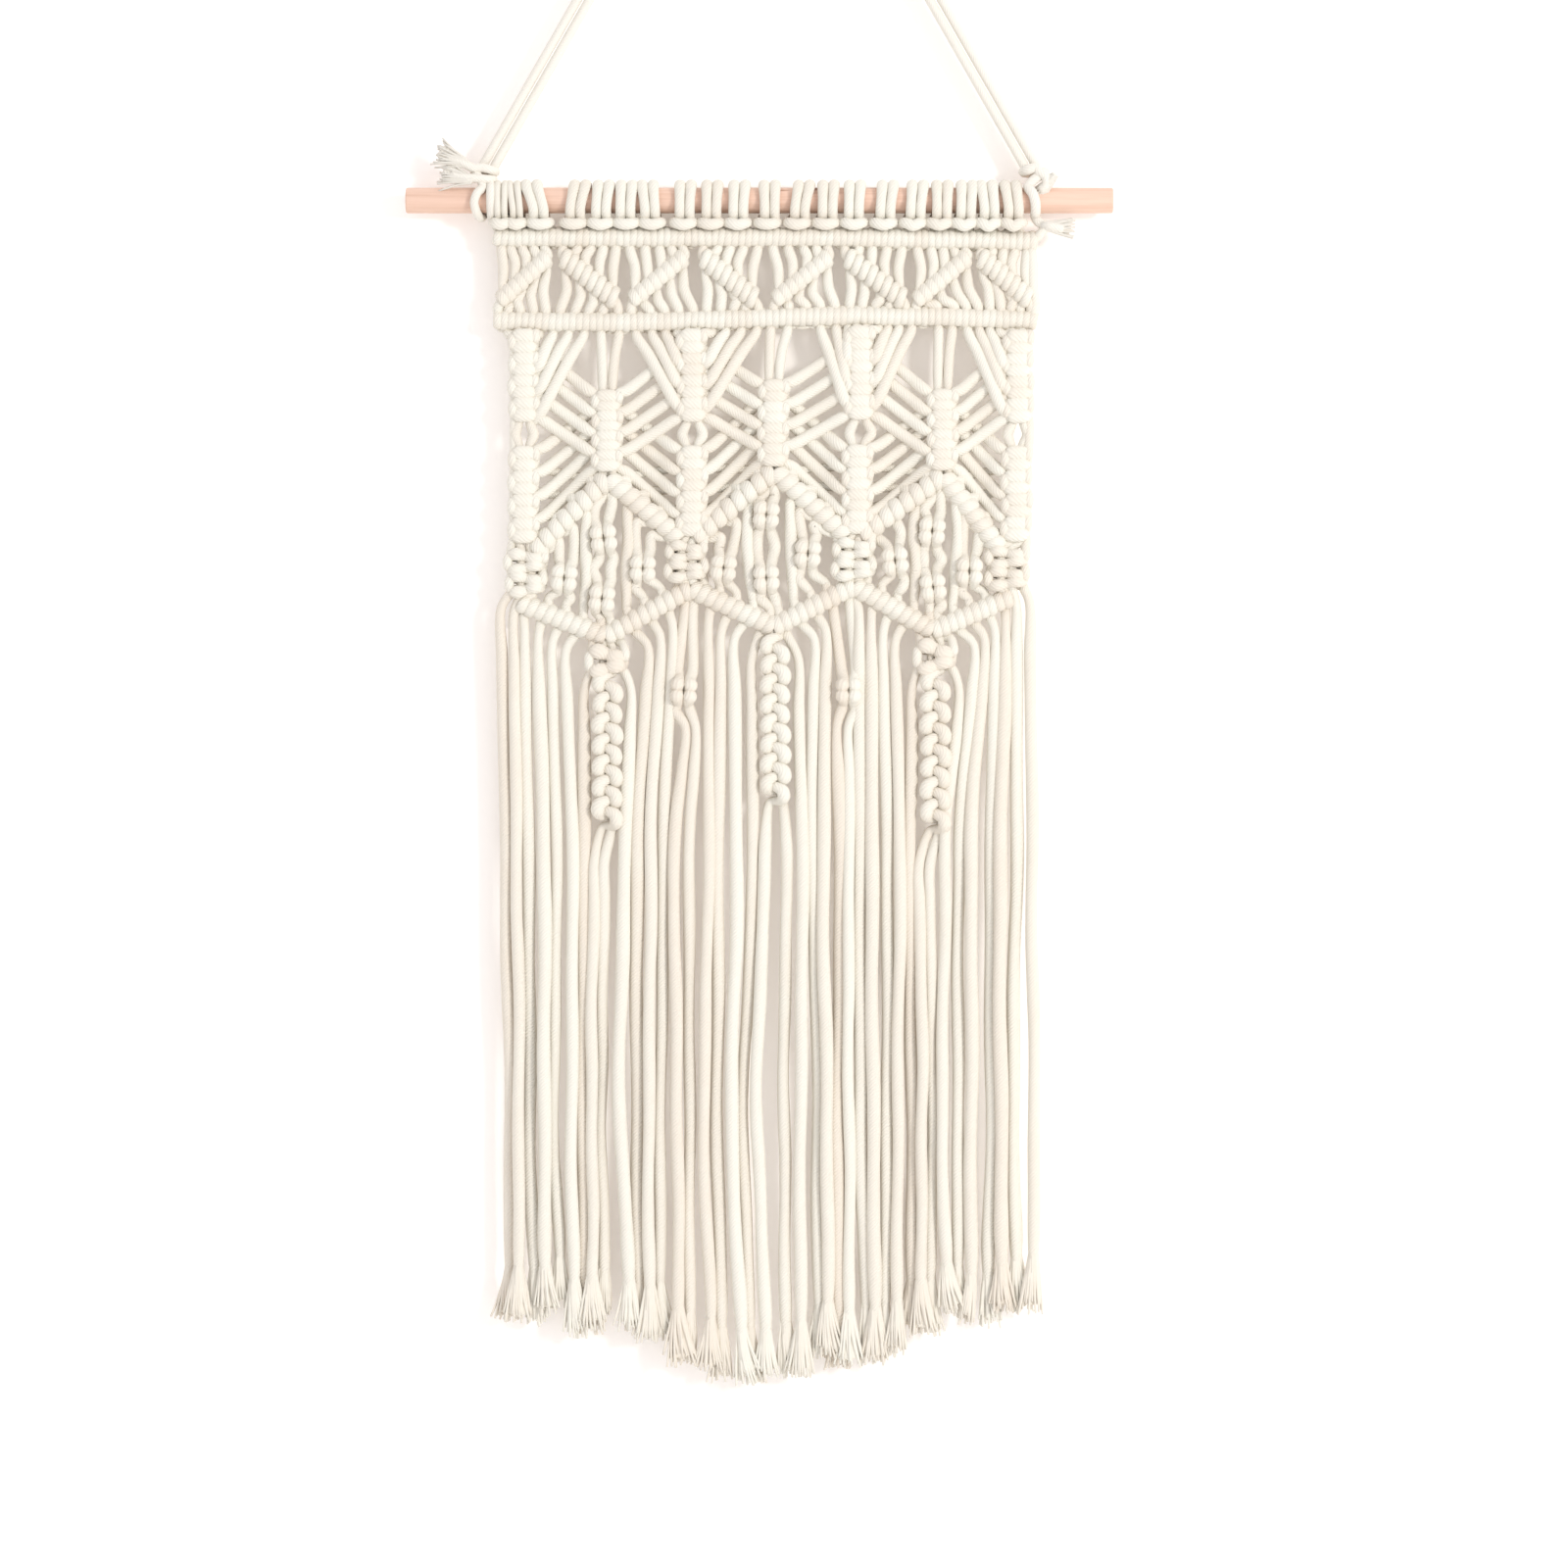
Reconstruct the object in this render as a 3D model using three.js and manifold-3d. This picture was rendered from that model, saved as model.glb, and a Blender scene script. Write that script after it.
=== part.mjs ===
// Macrame wall hanging on a wooden rod, with its doubled hanger cord.
// Millimetres. +Z is up, +X is to the viewer's right, and the viewer stands on the -Y side.
// The origin is the point of the wall hook that the hanger cord rests on.
// Depths are measured down from the rod's axis.

import * as THREE from 'three';
import { mergeVertices } from 'three/addons/utils/BufferGeometryUtils.js';
import Module from 'manifold-3d';

const wasm = await Module();
wasm.setup();

// Driving dimensions
const rodLength = 300;
const rodRadius = 5.4;
const rodDrop = 201;
const cordDiameter = 4;
const cordCount = 40;
const firstCordX = -109.5;
const cordPitch = 5.78;
const panelY = -2;
const gap = 0.35;

// A cord in the panel is a bar of about the cord's own section, and cords that run together are one flat bar.
const strandWidth = 3.4;
const strandThick = 3;
const pairWidth = 8.4;
const frontY = panelY - 1.7;
const backY = panelY + 1.6;
const ribRadius = 3.5;
const ribSides = 6;
// How far a bar runs on into the knots that it joins.
const bite = 1.2;
const overlap = 2;

const cotton = new THREE.MeshStandardMaterial({ color: 0xf6eddc, roughness: 0.95, metalness: 0 });
const hangerCotton = new THREE.MeshStandardMaterial({ color: 0xf8f2e4, roughness: 0.92, metalness: 0 });
const wood = new THREE.MeshStandardMaterial({ color: 0xf0cda9, roughness: 0.6, metalness: 0 });

const object = new THREE.Group();

// ---- Helpers ----

function at(x, depth, y = panelY) {
  return new THREE.Vector3(x, y, -rodDrop - depth);
}

function add(name, geometry, material) {
  const mesh = new THREE.Mesh(geometry, material);
  mesh.name = name;
  object.add(mesh);
}

function cordX(index) {
  return firstCordX + index * cordPitch;
}

function solidOf(geometry) {
  geometry.deleteAttribute('normal');
  geometry.deleteAttribute('uv');
  const merged = mergeVertices(geometry, 1e-4);
  return new wasm.Manifold(new wasm.Mesh({
    numProp: 3,
    vertProperties: new Float32Array(merged.attributes.position.array),
    triVerts: new Uint32Array(merged.index.array),
  }));
}

function geometryOf(solid) {
  const mesh = solid.getMesh();
  const geometry = new THREE.BufferGeometry();
  geometry.setAttribute('position', new THREE.BufferAttribute(new Float32Array(mesh.vertProperties), 3));
  geometry.setIndex(new THREE.BufferAttribute(new Uint32Array(mesh.triVerts), 1));
  return geometry;
}

function joined(geometries) {
  return geometryOf(geometries.map(solidOf).reduce((whole, piece) => whole.add(piece)));
}

function outline(points) {
  const shape = new THREE.Shape();
  shape.moveTo(...points[0]);
  for (const point of points.slice(1)) shape.lineTo(...point);
  shape.closePath();
  return shape;
}

function polygon(radius, sides, firstAngle = 0) {
  const points = [];
  for (let side = 0; side < sides; side += 1) {
    const angle = firstAngle + (2 * Math.PI * side) / sides;
    points.push([radius * Math.cos(angle), radius * Math.sin(angle)]);
  }
  return points;
}

function placedAlong(geometry, start, end, longAxis) {
  const along = end.clone().sub(start).normalize();
  geometry.applyQuaternion(new THREE.Quaternion().setFromUnitVectors(longAxis, along));
  const middle = start.clone().add(end).multiplyScalar(0.5);
  return geometry.translate(middle.x, middle.y, middle.z);
}

// One straight stretch of cord, or of a flat pair of cords, between two points.
function strand(start, end, width = strandWidth) {
  const bar = new THREE.BoxGeometry(width, strandThick, start.distanceTo(end));
  return placedAlong(bar, start, end, new THREE.Vector3(0, 0, -1));
}

// A row of hitches over a holding cord.
function rib(start, end, radius = ribRadius, sides = ribSides) {
  const cylinder = new THREE.CylinderGeometry(radius, radius, start.distanceTo(end), sides);
  return placedAlong(cylinder, start, end, new THREE.Vector3(0, 1, 0));
}

// A tube along a smooth route.
function tube(points, radius, sides, steps) {
  return new THREE.ExtrudeGeometry(outline(polygon(radius, sides)), {
    steps,
    curveSegments: 1,
    extrudePath: new THREE.CatmullRomCurve3(points, false, 'centripetal'),
  });
}

// A flat sheet of cords that lie side by side, from its corners as [x, depth].
function web(corners, y) {
  const points = corners.map(([x, depth]) => [x, -rodDrop - depth]);
  const sheet = new THREE.ExtrudeGeometry(outline(points), { depth: strandThick, bevelEnabled: false });
  return sheet.rotateX(Math.PI / 2).translate(0, y + strandThick / 2, 0);
}

// A stack of knots: a flattened round body about a vertical axis, drawn in at its top and bottom.
function knotStack({ x, top, bottom, halfWidth, halfThick, waist, shoulder }) {
  const sides = 6;
  const profile = [
    new THREE.Vector2(0, -bottom),
    new THREE.Vector2(waist * halfWidth, -bottom),
    new THREE.Vector2(halfWidth, -bottom + shoulder),
    new THREE.Vector2(halfWidth, -top - shoulder),
    new THREE.Vector2(waist * halfWidth, -top),
    new THREE.Vector2(0, -top),
  ];
  const body = new THREE.LatheGeometry(profile, sides, Math.PI / 2);
  return body.rotateX(Math.PI / 2).scale(1, halfThick / halfWidth, 1).translate(x, panelY, -rodDrop);
}

// ---- Rod ----

function rod() {
  const bevel = 0.6;
  const sides = 24;
  const half = rodLength / 2;
  const profile = [
    new THREE.Vector2(0, -half),
    new THREE.Vector2(rodRadius - bevel, -half),
    new THREE.Vector2(rodRadius, -half + bevel),
    new THREE.Vector2(rodRadius, half - bevel),
    new THREE.Vector2(rodRadius - bevel, half),
    new THREE.Vector2(0, half),
  ];
  return new THREE.LatheGeometry(profile, sides).rotateZ(-Math.PI / 2).translate(0, 0, -rodDrop);
}

// ---- Heading: each doubled cord goes round the rod and down behind its own front loop ----

const headingKnots = [
  { x: -108.2 }, { x: -101.6 }, { x: -93.1 }, { x: -79.2 }, { x: -67.3 },
  { x: -56.5 }, { x: -45.7 }, { x: -32.2 }, { x: -20.5 }, { x: -9.3 },
  { x: 4.0 }, { x: 16.5 }, { x: 28.0 }, { x: 39.9 }, { x: 52.8 },
  { x: 65.2 }, { x: 76.5 }, { x: 87.3 }, { x: 97.2 }, { x: 107.7 },
];
const headingBottom = 12.9;
const knotWidth = 8.3;
const loopFront = -9;
const loopTop = -4;
const loopBottom = -11.2;
const loopHeel = -7.4;
const endsBack = 0.4;
const endsTop = [1.6, -9];

// The side view of one knot, as [y, height above the rod's axis]: over the rod, then the loop and the two ends.
function headingKnotOutline() {
  const outer = rodRadius + 0.95 * cordDiameter;
  const overTheRod = polygon(outer, 8, -Math.PI / 8).slice(0, 5);
  const loop = [[loopFront, loopTop], [loopFront, loopBottom], [loopHeel, -headingBottom]];
  const ends = [[endsBack, -headingBottom], endsTop];
  const shape = outline([...overTheRod, ...loop, ...ends]);
  const holeSides = 7;
  const holeRadius = (rodRadius + gap) / Math.cos(Math.PI / holeSides);
  shape.holes.push(new THREE.Path(outline(polygon(holeRadius, holeSides)).getPoints()));
  return shape;
}

function heading() {
  const shape = headingKnotOutline();
  const sideways = new THREE.Matrix4().makeBasis(
    new THREE.Vector3(0, 1, 0), new THREE.Vector3(0, 0, 1), new THREE.Vector3(1, 0, 0),
  );
  const pieces = headingKnots.map(({ x }) => {
    const knot = new THREE.ExtrudeGeometry(shape, { depth: knotWidth, bevelEnabled: false });
    return knot.applyMatrix4(sideways).translate(x - knotWidth / 2, 0, -rodDrop);
  });
  const first = headingKnots[0].x;
  const last = headingKnots[headingKnots.length - 1].x;
  const ends = strand(at(first, headingBottom - bite), at(last, headingBottom - bite), overlap);
  return joined([...pieces, ends]);
}

// ---- The two straight rows of hitches ----

const barRadius = 3.75;
const barSides = 8;
const barLeft = -112.3;
const barRight = 117.3;
const upperBarDepth = headingBottom + gap + barRadius;
const middleBarMean = 50.6;
const middleBarWave = 1.3;
const middleBarCrest = 45;
const holdingTail = [
  { x: barRight - 3, depth: upperBarDepth - 1, y: -2 },
  { x: barRight + 5, depth: upperBarDepth - 4, y: -3 },
  { x: barRight + 14.7, depth: upperBarDepth - 6.5, y: -3.5 },
];
const tailRadius = 1.6;
const tailSides = 5;
const tailSteps = 3;

function middleBarDepth(x) {
  return middleBarMean - middleBarWave * Math.cos((2 * Math.PI * (x - middleBarCrest)) / (barRight - barLeft));
}

// The depth at which the cords that leave the lower row of hitches come free of it.
function underMiddleBar(x) {
  return middleBarDepth(x) + barRadius + 2.3 * gap;
}

function upperBar() {
  const body = rib(at(barLeft, upperBarDepth), at(barRight, upperBarDepth), barRadius, barSides);
  const tail = tube(holdingTail.map(({ x, depth, y }) => at(x, depth, y)), tailRadius, tailSides, tailSteps);
  return joined([body, tail]);
}

function middleBar() {
  const stations = 10;
  const points = [];
  for (let station = 0; station <= stations; station += 1) {
    const x = barLeft + ((barRight - barLeft) * station) / stations;
    points.push(at(x, middleBarDepth(x)));
  }
  return tube(points, barRadius, barSides, stations);
}

// ---- Zigzag band: short upright cords, in pairs, hitched over four peaked ribs ----

const zigzagTurns = [
  { x: -109.8, depth: 42.0 }, { x: -86.4, depth: 24.9 },
  { x: -59.8, depth: 42.0 }, { x: -27.0, depth: 24.9 },
  { x: 1.2, depth: 41.8 }, { x: 33.2, depth: 24.9 },
  { x: 64.0, depth: 41.4 }, { x: 91.0, depth: 24.9 },
  { x: 114.0, depth: 42.2 },
];
const zigzagRadius = 3.2;

function zigzagBand() {
  const pieces = [];
  const top = upperBarDepth + barRadius + gap;
  for (let index = 0; index < cordCount; index += 2) {
    const x = (cordX(index) + cordX(index + 1)) / 2;
    const bottom = middleBarDepth(x) - barRadius - 2 * gap;
    pieces.push(strand(at(x, top), at(x, bottom), pairWidth));
  }
  for (let turn = 1; turn < zigzagTurns.length; turn += 1) {
    const from = zigzagTurns[turn - 1];
    const to = zigzagTurns[turn];
    pieces.push(rib(at(from.x, from.depth, frontY), at(to.x, to.depth, frontY), zigzagRadius));
  }
  return joined(pieces);
}

// ---- Net: square-knot columns in three staggered rows, and the pointed hexagon row under them ----

const columnHalfWidth = 6.1;
const columnKnots = { halfWidth: columnHalfWidth, halfThick: 4.6, waist: 0.8, shoulder: 4 };
const jointKnots = { halfWidth: 8, halfThick: 4.8, waist: 0.8, shoulder: 4 };
const upperColumns = [
  { x: -99.7, top: 55.7, bottom: 93.5 },
  { x: -28.3, top: 55.6, bottom: 93.5 },
  { x: 42.8, top: 54.2, bottom: 92.6 },
  { x: 109.6, top: 56.0, bottom: 94.0 },
];
const middleColumns = [
  { x: -64.4, top: 81.4, bottom: 114.6 },
  { x: 6.2, top: 77.0, bottom: 112.4 },
  { x: 77.7, top: 81.0, bottom: 114.2 },
];
const lowerColumns = [
  { x: -99.7, top: 105.1, bottom: 141.6 },
  { x: -28.6, top: 105.1, bottom: 141.6 },
  { x: 41.8, top: 104.6, bottom: 140.4 },
  { x: 109.0, top: 105.1, bottom: 141.6 },
];
// The joints between hexagons. Ribs from the columns above meet at ribDepth, and the pointed row turns at the corner.
const joints = [
  { x: -98.9, top: 147.0, bottom: 166.0, ribDepth: 146.6, cornerX: -101.8, cornerDepth: 170.3 },
  { x: -29.9, top: 144.0, bottom: 160.2, ribDepth: 143.6, cornerX: -29.1, cornerDepth: 164.5 },
  { x: 39.8, top: 142.6, bottom: 157.0, ribDepth: 142.2, cornerX: 40.3, cornerDepth: 161.2 },
  { x: 104.6, top: 146.0, bottom: 163.5, ribDepth: 145.4, cornerX: 106.0, cornerDepth: 167.9 },
];
const hexagons = [
  { apexDepth: 118.0, pointX: -65.2, pointDepth: 185.3 },
  { apexDepth: 115.0, pointX: 6.2, pointDepth: 181.2 },
  { apexDepth: 117.0, pointX: 73.5, pointDepth: 182.8 },
];
// The upright cords of a hexagon, across from its middle column: two in each pair, and one in each single.
const uprights = [
  { across: -17.5, width: pairWidth }, { across: -9.3, width: strandWidth }, { across: -2.5, width: pairWidth },
  { across: 6.2, width: strandWidth }, { across: 14, width: pairWidth },
];
// Small knots on the pairs, four to each hexagon.
const smallKnots = [
  { x: -66.0, depth: 143.5 }, { x: -82.7, depth: 160.4 }, { x: -49.4, depth: 156.3 }, { x: -66.7, depth: 169.1 },
  { x: 2.9, depth: 133.6 }, { x: -15.2, depth: 156.1 }, { x: 20.5, depth: 150.0 }, { x: 2.9, depth: 160.4 },
  { x: 73.1, depth: 140.5 }, { x: 57.4, depth: 153.0 }, { x: 88.9, depth: 157.5 }, { x: 73.5, depth: 164.2 },
];
const smallKnotSize = [11.5, 7, 10];
const hexagonRibY = panelY - 1;
const hexagonRibReach = 3;
const cordsToFan = 5.1;

function slantDepth(x, from, to) {
  return from.depth + ((to.depth - from.depth) * (x - from.x)) / (to.x - from.x);
}

function pointedRowDepth(x) {
  const index = x < joints[1].cornerX ? 0 : x < joints[2].cornerX ? 1 : 2;
  const { pointX, pointDepth } = hexagons[index];
  const corner = x < pointX ? joints[index] : joints[index + 1];
  return slantDepth(x, { x: corner.cornerX, depth: corner.cornerDepth }, { x: pointX, depth: pointDepth });
}

// The working cords that come down from the straight row to one side of a top column.
function fan(column, side) {
  const sideX = column.x + side * (columnHalfWidth - bite);
  const farX = column.x + side * cordsToFan * cordPitch;
  const foot = [sideX, column.bottom - bite];
  return web([[sideX, underMiddleBar(sideX)], [farX, underMiddleBar(farX)], foot], frontY);
}

// The same cords going on, knot for knot, to the next column below.
function link(upper, lower) {
  const side = Math.sign(lower.x - upper.x);
  const startX = upper.x + side * (columnHalfWidth - bite);
  const endX = lower.x - side * (columnHalfWidth - bite);
  return web([
    [startX, upper.top + 2.5 * overlap], [endX, lower.top + overlap],
    [endX, lower.bottom - overlap], [startX, upper.bottom - overlap],
  ], backY);
}

function hexagonPieces(hexagon, column, left, right) {
  const apex = at(column.x, hexagon.apexDepth, hexagonRibY);
  const pieces = [
    rib(apex, at(left.x + hexagonRibReach, left.ribDepth, hexagonRibY)),
    rib(apex, at(right.x - hexagonRibReach, right.ribDepth, hexagonRibY)),
  ];
  for (const { across, width } of uprights) {
    const x = column.x + across;
    const foot = x < column.x ? left : right;
    const start = slantDepth(x, { x: column.x, depth: hexagon.apexDepth }, { x: foot.x, depth: foot.ribDepth });
    const lowestEdge = Math.min(pointedRowDepth(x - width / 2), pointedRowDepth(x + width / 2));
    pieces.push(strand(at(x, start), at(x, lowestEdge - ribRadius - 3 * gap), width));
  }
  return pieces;
}

// The cords at a column's heart, where they hang bare above and below its knots.
function heart(x, top, bottom) {
  return strand(at(x, top - overlap), at(x, bottom + overlap), pairWidth);
}

function knottedNet() {
  const pieces = [...upperColumns, ...middleColumns, ...lowerColumns]
    .map((column) => knotStack({ ...column, ...columnKnots }));
  pieces.push(...joints.map((joint) => knotStack({ ...joint, ...jointKnots })));
  for (const { x, depth } of smallKnots) {
    const place = at(x, depth);
    pieces.push(new THREE.BoxGeometry(...smallKnotSize).translate(place.x, place.y, place.z));
  }
  upperColumns.forEach((column, index) => {
    if (index > 0) pieces.push(fan(column, -1), link(column, middleColumns[index - 1]));
    if (index < upperColumns.length - 1) pieces.push(fan(column, 1), link(column, middleColumns[index]));
    pieces.push(heart(column.x, column.bottom, lowerColumns[index].top));
  });
  middleColumns.forEach((column, index) => {
    pieces.push(link(column, lowerColumns[index]), link(column, lowerColumns[index + 1]));
    pieces.push(heart(column.x, underMiddleBar(column.x) + overlap, column.top));
    pieces.push(heart(column.x, column.bottom, hexagons[index].apexDepth));
    pieces.push(...hexagonPieces(hexagons[index], column, joints[index], joints[index + 1]));
  });
  lowerColumns.forEach((column, index) => pieces.push(heart(column.x, column.bottom, joints[index].top)));
  return joined(pieces);
}

// ---- Fringe: one comb under the pointed row of hitches, and the spirals that hang among its cords ----

const fringeSpread = 1.028;
const fringeShift = 2.2;
const tipEdge = 472;
const tipMiddle = 501;
const tipReach = 100;
const tipCentre = 5;
const tipUneven = { size: 3, turn: 2.7 };
const sway = { size: 2.2, along: 7.5, across: 0.35 };
const layer = { size: 0.8, across: 1.9 };
const spreadDone = 1.6;
const fringeSteps = 5;

const spirals = [
  { name: 'spiral_left', x: -64.4, top: 201.5, bottom: 263.5, firstCord: 7, knotTop: 189.8 },
  { name: 'spiral_middle', x: 6.6, top: 185.8, bottom: 253.0, firstCord: 19, knotTop: null },
  { name: 'spiral_right', x: 74.6, top: 200.5, bottom: 265.0, firstCord: 31, knotTop: 187.4 },
];
const cordsPerSpiral = 2;
const spiralCordPitch = 4.4;
const cordsBesideSpiral = 5;
const cordsPastCorner = 2;
const cornerClear = 2.2;
const spiralClear = 11.6;
const halfTurn = 8.7;
const spiralHalfWide = 6.4;
const spiralHalfThick = 4.4;
const gatherKnot = { halfWidth: 8.2, halfThick: 5.2, waist: 0.7, shoulder: 4 };

// Where the cords leave the pointed row: five from each corner to the spiral beside it, and two past each end corner.
function fringeTops() {
  const tops = [];
  const evenly = (from, to, count) => {
    for (let cord = 0; cord < count; cord += 1) tops.push(from + ((to - from) * cord) / (count - 1));
  };
  const corners = joints.map(({ cornerX }) => cornerX);
  evenly(cordX(0), corners[0] - cornerClear, cordsPastCorner);
  spirals.forEach(({ x }, index) => {
    evenly(corners[index] + cornerClear, x - spiralClear, cordsBesideSpiral);
    evenly(x - spiralCordPitch / 2, x + spiralCordPitch / 2, cordsPerSpiral);
    evenly(x + spiralClear, corners[index + 1] - cornerClear, cordsBesideSpiral);
  });
  evenly(corners[corners.length - 1] + cornerClear, cordX(cordCount - 1), cordsPastCorner);
  return tops;
}

function tipDepth(index) {
  const away = Math.min(Math.abs(cordX(index) - tipCentre), tipReach);
  const belly = Math.cos((Math.PI * away) / (2 * tipReach)) ** 2;
  return tipEdge + (tipMiddle - tipEdge) * belly + tipUneven.size * Math.sin(tipUneven.turn * index);
}

// One hanging cord of the fringe, from where it leaves the knots to its cut tip.
function fringeCord(index, startX, startDepth) {
  const endX = cordX(index) * fringeSpread + fringeShift;
  const endDepth = tipDepth(index);
  const points = [];
  for (let step = 0; step <= fringeSteps; step += 1) {
    const share = step / fringeSteps;
    const aside = sway.size * share * Math.sin(sway.along * share + sway.across * index);
    const x = startX + (endX - startX) * Math.min(1, spreadDone * share) + aside;
    const y = panelY + layer.size * share * Math.sin(layer.across * index);
    points.push(at(x, startDepth + (endDepth - startDepth) * share, y));
  }
  return tube(points, strandWidth / Math.SQRT2, 4, fringeSteps);
}

function fringe() {
  const pieces = [];
  hexagons.forEach(({ pointX, pointDepth }, index) => {
    const point = at(pointX, pointDepth);
    pieces.push(rib(at(joints[index].cornerX, joints[index].cornerDepth), point));
    pieces.push(rib(point, at(joints[index + 1].cornerX, joints[index + 1].cornerDepth)));
  });
  const [leftJoint, rightJoint] = [joints[0], joints[joints.length - 1]];
  const leftEnd = at(cordX(0) - overlap, leftJoint.cornerDepth);
  const rightEnd = at(cordX(cordCount - 1) + overlap, rightJoint.cornerDepth);
  pieces.push(rib(leftEnd, at(leftJoint.cornerX + overlap, leftJoint.cornerDepth)));
  pieces.push(rib(at(rightJoint.cornerX - overlap, rightJoint.cornerDepth), rightEnd));
  fringeTops().forEach((x, index) => {
    const inSpiral = spirals.some(({ firstCord }) => index >= firstCord && index < firstCord + cordsPerSpiral);
    if (inSpiral) return;
    const heldX = Math.min(Math.max(x, leftJoint.cornerX), rightJoint.cornerX);
    pieces.push(fringeCord(index, x, pointedRowDepth(heldX)));
  });
  return joined(pieces);
}

// A half-knot sennit: its flat section turns half round at every knot.
function spiral({ x, top, bottom, firstCord, knotTop }) {
  const rows = Math.round((2 * (bottom - top)) / halfTurn);
  const body = new THREE.CylinderGeometry(1, 1, bottom - top, 6, rows);
  body.rotateX(Math.PI / 2).translate(0, 0, -(top + bottom) / 2);
  const place = body.attributes.position;
  for (let index = 0; index < place.count; index += 1) {
    const turn = (Math.PI * (-place.getZ(index) - top)) / halfTurn;
    const wide = spiralHalfWide * place.getX(index);
    const thick = spiralHalfThick * place.getY(index);
    place.setX(index, x + wide * Math.cos(turn) - thick * Math.sin(turn));
    place.setY(index, panelY + wide * Math.sin(turn) + thick * Math.cos(turn));
    place.setZ(index, place.getZ(index) - rodDrop);
  }
  const pieces = [body];
  if (knotTop !== null) pieces.push(knotStack({ x, top: knotTop, bottom: top + bite, ...gatherKnot }));
  for (let cord = 0; cord < cordsPerSpiral; cord += 1) {
    const startX = x + (cord - (cordsPerSpiral - 1) / 2) * spiralCordPitch;
    pieces.push(fringeCord(firstCord + cord, startX, bottom - overlap));
  }
  return joined(pieces);
}

// ---- Hanger: two cords side by side over the hook, tied to the rod at both ends ----

// Half of each cord's centreline, from the tie up to the hook. The other half is its mirror image.
const innerHalf = [
  { x: -114.3, z: -189.6 }, { x: -102.6, z: -169.1 }, { x: -88.9, z: -145.1 }, { x: -75.2, z: -121.1 },
  { x: -61.5, z: -97.1 }, { x: -47.8, z: -73.1 }, { x: -34.1, z: -49.1 }, { x: -20.4, z: -25.1 },
  { x: -7.4, z: -2.2 }, { x: -4.3, z: 1.0 },
];
const outerHalf = [
  { x: -118.1, z: -187.4 }, { x: -107.7, z: -169.1 }, { x: -94.0, z: -145.1 }, { x: -80.3, z: -121.1 },
  { x: -66.6, z: -97.1 }, { x: -52.9, z: -73.1 }, { x: -39.2, z: -49.1 }, { x: -25.5, z: -25.1 },
  { x: -11.2, z: 0.0 }, { x: -6.5, z: 4.8 },
];
const innerTop = 2.1;
const hangerRadius = 1.93;
const outerTop = 6.5;

function hangerCord(half, top) {
  const left = half.map(({ x, z }) => new THREE.Vector3(x, 0, z));
  const right = half.map(({ x, z }) => new THREE.Vector3(-x, 0, z)).reverse();
  return tube([...left, new THREE.Vector3(0, 0, top), ...right], hangerRadius, 8, 40);
}

// The cords' lean towards the hook, and the middle of their two cut faces above each tie.
const lean = { across: 0.4955, up: 0.8686 };
const cordFoot = { x: 116.2, z: -188.5 };
const ringX = 118.4;
const ringSlack = 0.8;
const ringSides = 5;
const ringSteps = 12;
const tieKnot = { height: 3.4, radius: 4.4 };
const tailStart = 8.6;
const leftTails = [{ reach: 19.5, rise: 9.0, y: -1.5 }, { reach: 18.0, rise: 3.2, y: -3.5 }];
const rightTails = [{ reach: 5.5, rise: 2.6, y: -2.0 }];

// One turn round the rod, the knot on top of it, and the cord's free ends.
function tie(side, tails) {
  const x = side * ringX;
  const ringRadius = rodRadius + cordDiameter / 2 + ringSlack;
  const ring = new THREE.TorusGeometry(ringRadius, cordDiameter / 2, ringSides, ringSteps);
  ring.rotateY(Math.PI / 2).translate(x, 0, -rodDrop);
  const upwards = new THREE.Vector3(-side * lean.across, 0, lean.up);
  const face = new THREE.Vector3(side * cordFoot.x, 0, cordFoot.z).addScaledVector(upwards, -gap);
  const knot = rib(face.clone().addScaledVector(upwards, -tieKnot.height), face, tieKnot.radius);
  const pieces = [ring, knot];
  for (const { reach, rise, y } of tails) {
    const start = at(x, -tailStart, 0);
    const middle = at(x + (side * reach) / 2, -tailStart - rise / 3, y);
    const end = at(x + side * reach, -tailStart - rise, y);
    pieces.push(tube([start, middle, end], tailRadius, tailSides, tailSteps));
  }
  return joined(pieces);
}

// ---- The object ----

add('rod', rod(), wood);
add('heading', heading(), cotton);
add('upper_bar', upperBar(), cotton);
add('zigzag_band', zigzagBand(), cotton);
add('middle_bar', middleBar(), cotton);
add('knotted_net', knottedNet(), cotton);
add('fringe', fringe(), cotton);
for (const row of spirals) add(row.name, spiral(row), cotton);
add('tie_left', tie(-1, leftTails), hangerCotton);
add('tie_right', tie(1, rightTails), hangerCotton);
add('hanger_cord_inner', hangerCord(innerHalf, innerTop), hangerCotton);
add('hanger_cord_outer', hangerCord(outerHalf, outerTop), hangerCotton);

export default object;
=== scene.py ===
import math
import random

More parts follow.
